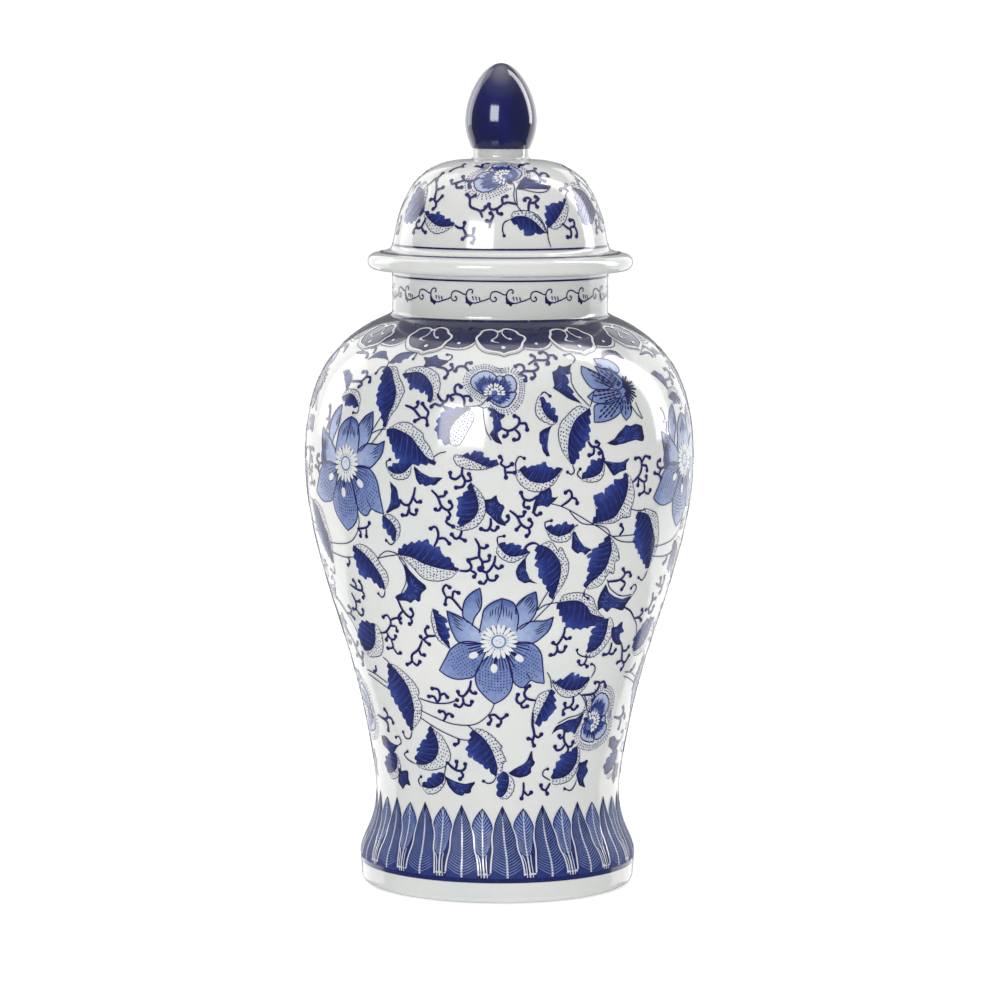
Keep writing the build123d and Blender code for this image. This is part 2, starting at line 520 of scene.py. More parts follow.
def dotted_half(art, spine, edge):
    """The pale half of a leaf: a thin outline round rows of dots on bare glaze."""
    k = art.fine.scale(spine)
    back = resample(smooth([(a * k, s) for a, s in spine]), PATH_STEP)
    rim = same_way([(a * k, s) for a, s in edge], back)
    rim = np.vstack([along(back, 0.04)[None], rim, along(back, 0.97)[None]])
    rim = resample(smooth(rim), PATH_STEP)
    outward = np.sign(np.dot(sides(rim)[len(rim) // 2], along(rim, 0.5) - along(back, 0.5))) or 1
    art.line.stroke([(x / k, y) for x, y in scallop(rim, 2.8, 0.5 * outward)], 0.5, DEEP, curved=False)
    rows = max(3, int(len(back) * PATH_STEP / DOT_ROW_PITCH))
    for i in range(1, rows):
        t = i / rows
        near, far = along(back, t), along(rim, t)
        room = np.hypot(*(far - near))
        count = int(room / DOT_PITCH)
        for j in range(1, count + 1):
            u = (j - 0.35 * (i % 2)) / (count + 0.6)
            spot = near + (far - near) * u + (rng.uniform(-0.25, 0.25), rng.uniform(-0.25, 0.25))
            art.fine.dot((spot[0] / k, spot[1]), rng.uniform(0.34, 0.5), DEEP)


def leaf(art, spine, dark=(), pale=(), hook=()):
    """A leaf in two halves about its spine, with a curled tendril at its tip."""
    if dark:
        brushed_half(art, spine, dark)
    if pale:
        dotted_half(art, spine, pale)
    art.line.stroke(spine, 0.6)
    if hook:
        art.line.stroke(hook, HOOK_WEIGHT, ball=HOOK_BALL)


def solid(art, outline, hook=()):
    """A small leaf in full colour."""
    k = art.dark.scale(outline)
    middle = np.mean([(a * k, s) for a, s in outline], 0)
    reach = max(np.hypot(a * k - middle[0], s - middle[1]) for a, s in outline)

    def shade(places):
        away = np.hypot(places[:, 0] * k - middle[0], places[:, 1] - middle[1])
        return DEEP + (NIGHT - DEEP) * np.clip(away / reach * 1.5, 0, 1)

    edge = scallop(np.array([(a * k, s) for a, s in outline + outline[:1]], float), 2.2, 0.4)[:-1]
    art.dark.fill([(x / k, y) for x, y in edge], NIGHT, shade)
    for point in edge[::5]:
        start = middle + (point - middle) * rng.uniform(0.25, 0.5)
        stop = middle + (point - middle) * rng.uniform(0.6, 0.85)
        if inside(start, edge) and inside(stop, edge) and rng.random() < 0.7:
            art.grain.stroke([(x / k, y) for x, y in (start, stop)], 0.45, rng.uniform(0.6, 0.74))
    if hook:
        art.line.stroke(hook, HOOK_WEIGHT, ball=HOOK_BALL)


def scroll(art, *strokes, weight=SCROLL_WEIGHT):
    """A branching tendril: each stroke ends in a ball."""
    for stroke in strokes:
        art.line.stroke(stroke, weight, ball=SCROLL_BALL, taper=0.75)


def stem(art, *lines, width=0.62):
    """Thin lines of even width."""
    for points in lines:
        art.line.stroke(points, width, taper=0.9, end=0.9)


# ---------------------------------------------------------------- flowers

# The clematis, in millimetres from its centre. Each petal has its two sides, from the base to the
# tip and from the tip back to the base, in the order in which they are painted.
BACK_PETALS = (
    (((8.8, 16), (8.8, 21.3), (12.7, 26.3), (18.2, 29.4)),
     ((18.2, 29.4), (19.3, 23.2), (19, 17.4), (16.3, 11.9), (11, 7))),
    (((-16, 11), (-18.5, 14.5), (-18.3, 19.4), (-16.9, 24.4), (-13.4, 28.8), (-9.3, 31.6)),
     ((-9.3, 31.6), (-8.6, 25.4), (-9.3, 19.4), (-12.5, 14), (-14, 9))))
UPPER_PETALS = (
    (((9.2, 6.9), (12.7, 10), (17.5, 11.9), (24, 12), (28.6, 14.1)),
     ((28.6, 14.1), (27.4, 7.4), (23.5, 2.4), (18.2, -1.2), (8, -1))),
    (((-9, -1), (-21.1, -1.2), (-24.7, 4.4), (-26.2, 10.4), (-26.9, 17.5)),
     ((-26.9, 17.5), (-21.1, 15), (-15.7, 11.4), (-9.4, 5.7))),
    (((-10.4, 5), (-8.7, 13.2), (-7.5, 18.8), (-3.3, 23.2), (1.5, 25.6)),
     ((1.5, 25.6), (6.2, 23.8), (8.5, 20.7), (10.1, 14.4), (9.5, 6))))
LOWER_PETALS = (
    (((-7, -6), (-13.4, -20), (-19.4, -22.6), (-25.9, -23.1), (-31.2, -21.2), (-35.1, -18.4)),
     ((-35.1, -18.4), (-30.1, -10.6), (-27, -5.6), (-21.1, -1.2), (-15.2, -0.3), (-8, -1.8))),
    (((-4, -7), (-10.5, -14), (-13.4, -20), (-12.7, -27), (-8, -33), (-2.5, -37.3)),
     ((-2.5, -37.3), (3.4, -34), (7.4, -29), (8.3, -22), (6.5, -14), (4, -7))),
    (((4, -7), (6, -14), (8, -22), (10.5, -26), (15, -27.6), (19, -23.4), (22, -24.6), (27.5, -25.6)),
     ((27.5, -25.6), (25.4, -14.6), (24, -8.1), (21.1, -3.6), (16.3, -0.6), (7, -0.6))))
HIGHLIGHTS = ((11.6, -10, -42), (-2.6, -16, 90), (-14, -8.4, 28))


UPPER_TONES = (0.64, 0.24)        # at the tip and at the base of a petal
LOWER_TONES = (0.36, 0.46)


def petal_outline(petal):
    """Both sides of a petal as one closed curve."""
    first, second = petal
    return np.vstack([smooth(first), smooth(second)[1:]])


def clematis(art, centre):
    """The large flower: three lower petals with dots, five upper ones with dark tips."""
    k = art.skin.radius(centre[1]) * DEG

    def at(x, y):
        return centre[0] + x / k, centre[1] + y

    def lay(petal, order, tip_tone, base_tone):
        outline = petal_outline(petal)
        tip = np.array(petal[0][-1], float)
        reach = np.hypot(*tip)

        def shade(places):
            flat = (places - centre) * (k, 1)
            share = np.clip(np.hypot(flat[:, 0], flat[:, 1]) / reach, 0, 1)
            return base_tone + (tip_tone - base_tone) * share ** 3

        art.wash.rise = PETAL_RISE * order
        art.wash.fill([at(x, y) for x, y in outline], LIGHT, shade)
        art.wash.rise = 0
        for side in petal:
            art.line.stroke([at(x, y) for x, y in side], 0.75, DARK, taper=0.9, end=0.9)
        return outline, tip

    for order, petal in enumerate(BACK_PETALS + UPPER_PETALS):
        outline, tip = lay(petal, order, *UPPER_TONES)
        tip_strokes(art, at, outline, tip)
    art.line.stroke([at(1.5, 25.6), at(1.2, 19), at(-0.8, 11)], 0.6)
    for order, petal in enumerate(LOWER_PETALS):
        outline, tip = lay(petal, order + 5, *LOWER_TONES)
        petal_grain(art, at, outline)
    art.line.stroke([at(19, -23.4), at(17, -20), at(16, -18)], 0.6)
    for x, y, lean in HIGHLIGHTS:
        art.white.dot(at(x, y), 1.9, WHITE, 1.5, lean)
        art.top.stroke([at(x * 0.66 * 0.9, y * 0.66 * 0.9), at(x * 0.85, y * 0.85)], 1.3, NIGHT)
    flower_eye(art, at)


def tip_strokes(art, at, outline, tip):
    """Fine strokes that run from an upper petal's tip towards the flower's eye."""
    reach = np.hypot(*tip)
    axis = -tip / reach
    across = np.array([-axis[1], axis[0]])
    for i in range(-4, 5):
        offset = i * 1.35 + rng.uniform(-0.2, 0.2)
        start = 2.2 + abs(i) * 1.4
        stop = start + rng.uniform(5, 8.5) - abs(i) * 0.5
        points = [tip + axis * d + across * offset * min(1, d / 6) for d in (start, (start + stop) / 2,
                                                                             stop)]
        if all(inside(p, outline) for p in points):
            art.grain.stroke([at(*p) for p in points], 0.5, NIGHT)


def petal_grain(art, at, outline):
    """Dark rays round the eye and rows of small dots further out on a lower petal."""
    for degrees in range(0, 360, 7):
        ray = np.array([math.cos(degrees * DEG), math.sin(degrees * DEG)])
        stop = rng.uniform(15, 19.5)
        if inside(ray * 10.5, outline) and inside(ray * stop, outline):
            art.grain.stroke([at(*(ray * 9)), at(*(ray * stop))], rng.uniform(0.5, 0.9), DARK)
    for row in range(9):
        radius = 17 + row * 1.75
        count = int(2 * math.pi * radius / 1.8)
        for i in range(count):
            turn = 2 * math.pi * (i + 0.5 * (row % 2)) / count
            spot = np.array([math.cos(turn), math.sin(turn)]) * radius
            edge = np.min(np.hypot(*(outline - spot).T))
            if inside(spot, outline) and edge > 1.3 and row < 6 + rng.random() * 4:
                art.fine.dot(at(*spot), rng.uniform(0.36, 0.52), DARK)


def flower_eye(art, at):
    """Twenty white stamens round a grey-blue ring."""
    circle = [at(9.2 * math.cos(i * 12 * DEG), 9.2 * math.sin(i * 12 * DEG)) for i in range(30)]
    art.grain.fill(circle, 0.66)
    for i in range(20):
        turn = i * 18 + rng.uniform(-2, 2)
        mid = 7.4 + rng.uniform(-0.3, 0.3)
        place = at(mid * math.cos(turn * DEG), mid * math.sin(turn * DEG))
        art.white.dot(place, 1.08, WHITE, 2.7, turn)
    core = [at(4.9 * math.cos(i * 15 * DEG), 4.9 * math.sin(i * 15 * DEG)) for i in range(24)]
    art.white.fill(core, 0.04)
    ring = [at(3.7 * math.cos(i * 24 * DEG), 3.7 * math.sin(i * 24 * DEG)) for i in range(16)]
    art.top.stroke(ring, 1.0, 0.46, taper=1, end=1)
    for x, y in ((-1, 0.6), (0.9, -0.5), (0.6, 1.3)):
        art.top.dot(at(x, y), 0.5, 0.25)


# The peony, in millimetres from its eye. Every outline runs clockwise.
PEONY_PETALS = (((0.6, -4), (5.6, -2.6), (11.4, -2.4), (10, -6.2), (6.4, -10), (2, -9.2), (-1.6, -6.4)),
                ((3.6, 2.6), (5.6, 6.6), (8.4, 7.9), (11, 5.6), (12, 1.9), (10.8, -1.5), (7, -2),
                 (4, -1)),
                ((-3.8, -4.4), (-8, -1.6), (-11.6, 1.3), (-12.4, 5), (-9.8, 8.4), (-5, 10.2), (-0.6, 8.6),
                 (1, 5.4), (-1.2, 2)),
                ((0.6, 4), (1.7, 6.6), (4.4, 7.1), (5.9, 5.2), (5.3, 2.4), (3, 1.2)))
PEONY_ROOT = (-0.6, -3.4)
PEONY_CALYX = ((-3.8, -5.8), (-2.6, -3.9), (0.4, -3.1), (3.4, -3), (1, -4.6), (-1.4, -6.6), (-3.6, -7.8))
PEONY_HALO = ((-4.4, -4.6), (-8.4, -2), (-12.6, 2), (-12.8, 6.4), (-9, 10.2), (-4, 11), (0.6, 8.8),
              (4, 8.2), (8.8, 9), (12.2, 6), (13, 1.6), (12.6, -3), (10.8, -7), (7, -10.8), (2.4, -10.6),
              (-1.8, -8))


def peony(art, centre, size, lean=0):
    """A round flower of four ruffled petals with a fan of stamens and a halo of short dashes."""
    k = art.skin.radius(centre[1]) * DEG
    cos, sin = size * math.cos(lean * DEG), size * math.sin(lean * DEG)

    def at(x, y):
        return centre[0] + (x * cos - y * sin) / k, centre[1] + x * sin + y * cos

    for order, petal in enumerate(PEONY_PETALS):
        outline = scallop(smooth(petal + petal[:1]), 2.6, 0.55)[:-1]
        peony_petal(art, at, outline, order)
    art.dark.fill([at(x, y) for x, y in PEONY_CALYX], DARK)
    eye = [at(0.4 + 5.4 * math.cos(i * 15 * DEG), -1 + 4.2 * math.sin(i * 15 * DEG)) for i in range(24)]
    art.grain.fill(eye, MID)
    for count, reach, length in ((11, 4.6, 1.9), (7, 2.4, 1.6)):
        for i in range(count):
            turn = -10 + 200 * i / (count - 1) + rng.uniform(-3, 3)
            place = at(0.4 + reach * math.cos(turn * DEG), -2.6 + reach * math.sin(turn * DEG))
            art.white.dot(place, 0.62 * size, WHITE, length, turn + lean)
    path = resample(smooth(PEONY_HALO), 1.15)
    out = sides(path)
    for row in range(3):
        for i in range(row % 2, len(path) - 1):
            foot = path[i] + out[i] * (0.7 + 1.25 * row) + rng.uniform(-0.15, 0.15)
            tip = foot + out[i] * rng.uniform(0.5, 0.75)
            art.fine.stroke([at(*foot), at(*tip)], 0.7, DEEP, taper=1, end=0.9)


def peony_petal(art, at, outline, order):
    """A petal: pale at its ruffled edge, with rays that grow darker towards the root."""
    art.wash.rise = PETAL_RISE * order
    art.wash.fill([at(x, y) for x, y in outline], 0.22)
    art.wash.rise = 0
    edge = [at(x, y) for x, y in outline]
    art.line.stroke(edge + edge[:1], 0.7, DEEP, taper=1, end=1)
    root = np.array(PEONY_ROOT)
    for i in range(len(outline)):
        away = outline[i] - root
        if np.hypot(*away) > 4:
            start = root + away * rng.uniform(0.42, 0.5)
            stop = root + away * rng.uniform(0.66, 0.86)
            art.grain.stroke([at(*start), at(*stop)], 0.42, rng.uniform(0.6, DARK), taper=1, end=0.4)
    inner = [at(*(root + (p - root) * 0.6)) for p in outline]
    art.wash.rise = PETAL_RISE * (order + 0.5)
    art.wash.fill(inner, 0.5)
    art.wash.rise = 0


# The flower seen from the side. Each petal's outline begins at its tip.
SIDE_PETALS = (
    ((28.2, 308), (27.4, 303), (28.5, 297), (30.5, 293.8), (36, 293.5), (37, 297), (33, 303.5)),
    ((33.3, 307.5), (34, 302), (33.6, 299), (37, 294), (40.5, 293), (42.3, 298), (40, 303),
     (36, 305.5)), ((34.3, 312.5), (39, 312), (42.3, 308.5), (43, 304), (41, 302.5),
     (38, 305.5), (35, 306)),
    ((27.5, 289.5), (30, 286.2), (35, 285), (39, 287.5), (40, 291), (36, 293), (31, 293)),
    ((28.8, 275.5), (29, 280), (29.8, 284.8), (35, 286), (39.5, 288), (39.5, 282), (36, 277.5),
     (32, 275.6)), ((40.2, 275.5), (38.8, 280), (39.5, 286), (41.5, 289), (43.2, 284),
     (42.6, 279)))
SIDE_EYE = (41.5, 292.0)


def side_flower(art):
    """The flower seen from the side: six leaning petals and a tuft of dark stamens."""
    k = art.skin.radius(SIDE_EYE[1]) * DEG
    eye = np.array([SIDE_EYE[0] * k, SIDE_EYE[1]])
    for order, outline in enumerate(SIDE_PETALS):
        side_petal(art, eye, k, order, outline)
    disc = [i * 24 * DEG for i in range(15)]
    art.wash.rise = PETAL_RISE * 2.5
    art.wash.fill([((eye[0] + 4.2 * math.cos(turn)) / k, eye[1] + 5 * math.sin(turn)) for turn in disc],
                  0.42)
    art.wash.rise = 0
    for i in range(12):
        turn = (-80 + i * 13.5) * DEG
        reach = rng.uniform(7.5, 10.5)
        ray = np.array([math.cos(turn), math.sin(turn)])
        points = [eye + ray * 1.4, eye + ray * reach * 0.6 + (0, 0.7), eye + ray * reach]
        art.grain.stroke([(x / k, y) for x, y in points], 1.15, NIGHT, taper=0.8, end=0.8)
    stem(art, ((43, 284), (44.8, 279), (47, 275.6)), ((45.3, 285), (46.2, 280), (47.2, 276)))


def side_petal(art, eye, k, order, outline):
    """One petal, paler towards its tip, with its rows of dashes."""
    tip = np.array([outline[0][0] * k, outline[0][1]])
    edge = smooth(outline + outline[:1])
    reach = np.hypot(*(tip - eye))

    def shade(places):
        away = np.hypot(places[:, 0] * k - eye[0], places[:, 1] - eye[1])
        return 0.5 - 0.14 * np.clip(away / reach, 0, 1)

    art.wash.rise = PETAL_RISE * order
    art.wash.fill(edge[:-1], LIGHT, shade)
    art.wash.rise = 0
    art.line.stroke(outline + outline[:1], 0.65, DARK, taper=0.9, end=0.9)
    dashes(art, eye, tip, edge * (k, 1), k)


def dashes(art, eye, tip, flat, k):
    """Five rows of dark dashes that spread from the eye, where they fit inside the petal."""
    reach = np.hypot(*(tip - eye))
    away = (tip - eye) / reach
    for i in range(-2, 3):
        across = np.array([-away[1], away[0]]) * i * 1.9
        for share in np.arange(0.15, 0.8 - 0.1 * abs(i), 2.9 / reach):
            start = eye + (tip - eye) * share + across * min(1, 0.45 + share)
            stop = start + away * 2.6 + across * 0.08
            if inside(start - away, flat) and inside(stop + away, flat):
                art.grain.stroke([(x / k, y) for x, y in (start, stop)], 1.0, NIGHT, taper=0.7, end=0.4)


# ---------------------------------------------------------------- the jar's flowering branches

def upper_leaves(art):
    """Leaves between the collar and the widest part."""
    solid(art,
          ((-40.9, 309.4), (-41.7, 311.3), (-45.1, 316.6), (-48.8, 315.8), (-50.2, 313.4), (-51.8, 308.6),
           (-49.8, 310.2), (-47, 311), (-43.5, 310.6)))
    leaf(art, ((-40.4, 308.1), (-37.9, 315), (-31.9, 316.9)),
         dark=((-39.5, 309.2), (-36.4, 309.3), (-35, 312), (-33.5, 313.8)),
         hook=((-31.9, 316.9), (-30.8, 315.3), (-31.2, 311.9)))
    leaf(art,
         ((-40.6, 306.3), (-37.9, 303.8), (-35.7, 298.1), (-33.6, 291.9), (-33.4, 285.6), (-34.5, 279.4),
          (-35.1, 271.3)),
         dark=((-40.9, 299.4), (-39.4, 295.6), (-41.1, 293.4), (-39.1, 291.3), (-40.2, 289.4),
               (-39.4, 284.4), (-37.5, 280.6)),
         pale=((-36.4, 305.6), (-34.2, 300.3), (-30.8, 293.1), (-31.1, 288.8), (-32.3, 282.5),
               (-34.2, 277.5)),
         hook=((-40.6, 305.8), (-43, 305), (-43.9, 301.3)))
    leaf(art,
         ((-33, 301.9), (-31.5, 302.5), (-27.4, 303.4), (-24.4, 301.3), (-21.7, 296.3), (-20.6, 290.6),
          (-21, 286.3)),
         dark=((-30, 300), (-28.3, 293.4), (-26.6, 295.6), (-24.9, 291.9), (-23.6, 294.1),
               (-22.5, 291.9)),
         pale=((-31.2, 305), (-26.3, 306.9), (-22.5, 305), (-19.9, 301.3), (-18.9, 295), (-19.5, 288.8)))
    solid(art,
          ((-26.3, 307.3), (-25.6, 310), (-27.4, 313.8), (-25, 313), (-22.7, 315.5), (-21.8, 313),
           (-20, 312), (-17.6, 311.4), (-19, 309), (-21.5, 307.8)),
          hook=((-18.3, 311.2), (-16.8, 313.5), (-17.2, 315.6), (-18.9, 315.8)))
    solid(art,
          ((-62, 300.3), (-58.6, 301.6), (-55.2, 298.8), (-54.1, 295), (-54.7, 289.4), (-57.1, 293.8),
           (-59.5, 298)))
    leaf(art, ((-56.4, 285.6), (-53, 288.1), (-50, 286.9), (-46.8, 281.9)),
         dark=((-53.6, 284.5), (-53, 281.3), (-50.5, 283), (-48.5, 281.5)),
         pale=((-54.5, 290), (-49.6, 290), (-47, 285.6)),
         hook=((-46.8, 281.9), (-47, 278.3), (-48.9, 278)))
    solid(art,
          ((-3.9, 284.7), (-1.5, 283.5), (-0.2, 281), (1.8, 280.7), (1, 279), (0, 278), (0.3, 276),
           (0.9, 273), (-0.7, 271.5), (-0.5, 268.5), (0.9, 264.8), (-1.5, 266.5), (-2.8, 270),
           (-1.3, 273.5), (-2, 276.5), (-1.5, 279), (-3.2, 280), (-2, 282)))
    stem(art, ((-4.9, 284.5), (-4.5, 278), (-3.8, 272), (-2.3, 266.8)))
    leaf(art, ((-8.5, 284), (-12, 279), (-14.5, 272), (-14.2, 264)),
         dark=((-15.5, 283), (-17.8, 278), (-18.4, 271), (-16.5, 266)),
         pale=((-7.6, 279), (-9.5, 271), (-11.8, 264)))
    solid(art,
          ((25.5, 310), (21.7, 308), (20, 309.5), (19, 306), (17, 305), (17, 300), (17.3, 297),
           (16.3, 295), (19, 291.5), (22, 288), (25.8, 285), (23.8, 289.5), (22.8, 291.6), (23.6, 292.3),
           (22.6, 295), (21.6, 296.5), (22.7, 298), (22.5, 301), (21.7, 303), (23.4, 302.6), (23.9, 306)),
          hook=((25.5, 310), (27, 313), (26, 316.3), (23.6, 315.8)))
    stem(art, ((23.7, 304), (23.1, 298), (24.5, 291.5), (27.7, 284.5)))
    leaf(art, ((17, 276), (14.5, 278.5), (13, 283), (12.3, 290)),
         dark=((17, 276.8), (16.3, 281), (16.4, 283.4), (15, 283.5), (14.8, 285.8), (13.6, 288)),
         pale=((15.2, 275.3), (11.5, 279), (10.8, 284), (12, 290.5)),
         hook=((12.4, 291), (13.7, 293), (15.4, 290.6)))
    solid(art,
          ((15.7, 275), (12.5, 273), (11.3, 270.5), (11.5, 268), (11.2, 266), (12, 264.5), (12.1, 261),
           (12.8, 260), (13.3, 258), (14.7, 258), (14.1, 262), (14, 266), (14.6, 271)))
    solid(art,
          ((38, 312.5), (39.6, 316.8), (43.5, 318.2), (46.5, 316.5), (48.4, 310.8), (46.8, 312.2),
           (45, 314.3), (40.7, 314.8)))


def middle_leaves(art):
    """Leaves round the widest part."""
    leaf(art,
         ((-34.7, 270.6), (-32, 271.3), (-28.7, 269.4), (-26, 266.9), (-23.7, 261.9), (-21.1, 256.9),
          (-18.1, 254.4)),
         dark=((-32.7, 264.4), (-31, 256.9), (-29, 254.4), (-25.4, 253.1), (-22.1, 253.8)),
         pale=((-30.4, 274.4), (-27, 274.4), (-25, 271.9), (-22.7, 269.4), (-22.4, 266.3), (-20.7, 263.1),
               (-19.1, 256.9)))
    leaf(art, ((-25.7, 252.5), (-28.4, 248.1), (-31.4, 247.5), (-33.8, 249.6)),
         dark=((-26.6, 253.6), (-28.7, 253.8), (-31, 251.9)),
         pale=((-26.7, 246.3), (-29.4, 244.4), (-32, 245.6)),
         hook=((-33.8, 249.8), (-34.2, 253), (-32.9, 254.6)))
    solid(art,
          ((-25, 251.9), (-22.7, 248.1), (-20.1, 246.3), (-16.2, 246), (-17.6, 244), (-18.7, 242),
           (-19.8, 242.8), (-21.4, 241.1), (-22, 242.6), (-23.1, 242.1), (-24.4, 245.6)))
    solid(art,
          ((-33, 243), (-31.4, 240), (-30.6, 238.8), (-30.3, 235), (-29.6, 231.3), (-30.4, 228.8),
           (-35, 225), (-34, 227.5), (-32.7, 232.5), (-32.4, 238)))
    leaf(art, ((-36, 224.1), (-33, 220), (-31.9, 215.6), (-32.4, 209.7)),
         dark=((-35.7, 220.6), (-36.4, 218.8), (-34.7, 215)),
         pale=((-33.7, 224.4), (-31, 221.3), (-30.4, 216.9), (-31.4, 211.9)),
         hook=((-32.4, 209.7), (-34.2, 207.6), (-35.7, 209.8)))
    leaf(art, ((-32.1, 202.4), (-27, 201.3), (-23.7, 198.5), (-19, 196.3), (-15, 195.2), (-12, 194.9)),
         dark=((-30, 206.9), (-26.7, 208.8), (-21.2, 211.3), (-21.1, 207.5), (-17.7, 206.9),
               (-17.7, 203.1), (-14.4, 200.6), (-14.7, 198.1)),
         pale=((-29.5, 199.9), (-26.4, 194.3), (-24.1, 189.9), (-20.3, 188.6), (-17.6, 189.3),
               (-14.9, 191.1)))
    leaf(art,
         ((-50.1, 204.9), (-46.7, 201.8), (-43.6, 197.4), (-40.9, 191.1), (-39.4, 184.9), (-39.4, 180.5)),
         dark=((-50.3, 196.8), (-49.7, 188.6), (-47.1, 186.4), (-45.5, 188.6), (-43.6, 185.5)),
         pale=((-46.7, 205.8), (-43.6, 204.3), (-40.9, 200.5), (-39, 194.3), (-37.5, 191.1),
               (-37.5, 186.1)),
         hook=((-39.5, 180.5), (-40.2, 177.4), (-41.7, 176.1), (-42.7, 178)))
    leaf(art, ((-10.7, 258.4), (-7, 255.6), (-3, 252.8), (0.3, 254.4)),
         dark=((-7.7, 258.8), (-6, 261.3), (-5.2, 259.6), (-4.4, 256.9)),
         pale=((-13, 258.1), (-12, 253.8), (-10, 251.9), (-6.7, 251.3), (-3.5, 251.9)))
    leaf(art, ((5.6, 251.3), (7.6, 246.9), (10.3, 244.4), (13.3, 244.4), (15.9, 246.9), (18.4, 251.6)),
         dark=((7.3, 251.9), (9.3, 251.6), (9.4, 253.6), (10.9, 252), (12.5, 254.9), (14.3, 250.9),
               (16.9, 250.9)),
         pale=((4.6, 250), (5.6, 245), (7.6, 241.3), (10.6, 239.4), (13.3, 240.6), (15.6, 243.8)),
         hook=((4.8, 250), (4.6, 254.5), (5.6, 258.2), (7.1, 257.2)))
    leaf(art, ((-8, 244.4), (-6.7, 238.1), (-6, 232.5), (-6.4, 227.5), (-8.4, 223.1), (-11.5, 219.4)),
         dark=((-8.6, 239.5), (-11.7, 234.4), (-11.2, 231.3), (-12, 228.1), (-11.2, 224.4)),
         pale=((-5, 237.5), (-4, 231.3), (-4.7, 225), (-7, 220), (-10.7, 218.1), (-13.2, 219.6)))
    leaf(art, ((13.6, 219.4), (15.3, 216.3), (17.9, 214.7), (20.9, 216.3), (22.6, 219.4)),
         dark=((15.9, 219.7), (18.3, 220.2), (19.3, 221.6), (21, 219.9)),
         pale=((15.6, 213.1), (18.3, 211.3), (20.9, 212.5)),
         hook=((13.7, 218.5), (13.4, 222.3), (15.3, 223.3)))
    leaf(art, ((-0.2, 210.6), (1.3, 206.3), (3.6, 203.8), (7, 204.4), (9.3, 205.9)),
         dark=((3, 210), (5.6, 209.7), (6.6, 206.9)),
         pale=((-0.6, 206), (1.4, 202), (4, 200.4), (6.3, 202.2)),
         hook=((-0.3, 210), (-0.4, 214.2), (1.5, 215)))
    leaf(art,
         ((11.6, 210), (14.8, 208), (17.5, 203), (19, 198), (19.2, 191.8), (18.6, 184.9), (17.5, 178)),
         dark=((11.4, 203.6), (11.9, 201.1), (11.4, 198.6), (13.3, 195.5), (12.1, 194.3), (15.6, 185.5)),
         pale=((15.4, 211.3), (17.9, 205.6), (18.6, 208.1), (20.6, 201.8), (21.5, 198.6), (21.5, 192.4),
               (20.2, 186.1)))
    leaf(art, ((27.8, 283.4), (23.3, 278.1), (21, 271.3), (20.1, 263.8), (20.3, 256.3), (21.2, 253.1)),
         dark=((27, 278.8), (26.7, 271.9), (26.3, 266.9), (24.8, 264.4), (24.5, 261.6), (23.5, 262.8),
               (23, 258.1), (21.7, 254.4)),
         pale=((24.4, 284.4), (21.8, 281.9), (19.9, 278.8), (18.2, 275.6), (17.3, 269.4), (18.3, 261.3),
               (20, 256.3)),
         hook=((21.2, 253.1), (21.8, 250), (21, 248), (19.7, 249.4)))
    leaf(art, ((31.3, 255), (30.6, 250), (28.6, 246.9), (24, 245.3)),
         dark=((27.3, 254.7), (27, 251.9), (25.6, 249.4)),
         pale=((31.3, 250), (30.6, 246), (28.6, 243.8), (24.7, 244.4)),
         hook=((24, 245.3), (22.7, 248.1), (23.6, 250.8)))
    solid(art,
          ((31.3, 254.7), (34.6, 253), (38, 253.3), (40.6, 255.1), (39, 251.9), (39.3, 249.4),
           (37.3, 248.4), (34.8, 246.3), (33.3, 249.4)))
    leaf(art, ((28.3, 220.6), (35, 223.1), (37.6, 228.1), (39.3, 234.4), (40, 241.3), (39.5, 247.5)),
         dark=((29.6, 225), (29.9, 230), (28.1, 234.4), (29.6, 236.9), (31.6, 235.9), (33, 240.9),
               (35, 240), (35.6, 244.4), (37.6, 242.8)),
         pale=((35.3, 220.6), (38.6, 223.1), (41.3, 223.1), (41.6, 227.5), (42.5, 232.5), (42.3, 237.5),
               (41, 243.8)))
    solid(art,
          ((32.5, 264.1), (35.3, 265.6), (37.3, 269.4), (40, 272.9), (41.8, 272), (43.8, 273.4),
           (46.3, 271.9), (47, 265.6), (46.2, 263.8), (43, 264.8), (40.6, 264.4), (38, 263.1),
           (35.3, 262.8)))
    solid(art,
          ((55.4, 263), (58.4, 260.4), (58.9, 254), (59.7, 243), (56.6, 247), (55.6, 251), (56.3, 256)))
    solid(art,
          ((-4.2, 235), (-2.3, 235), (-0.8, 237.4), (-0.2, 233), (1.6, 231.5), (0.8, 228), (0.6, 225.4),
           (2.1, 220.4), (-0.1, 222), (-2, 225), (-3.5, 228), (-3.9, 231)))
    solid(art,
          ((14.6, 241.5), (11.5, 239.5), (10.5, 236), (9.7, 232), (9.1, 226.8), (10.3, 227.5), (11, 231),
           (12.5, 231.4), (14.3, 230.1), (15, 232.5), (16.3, 234), (17.2, 236.6), (15.4, 236),
           (15.2, 239)))


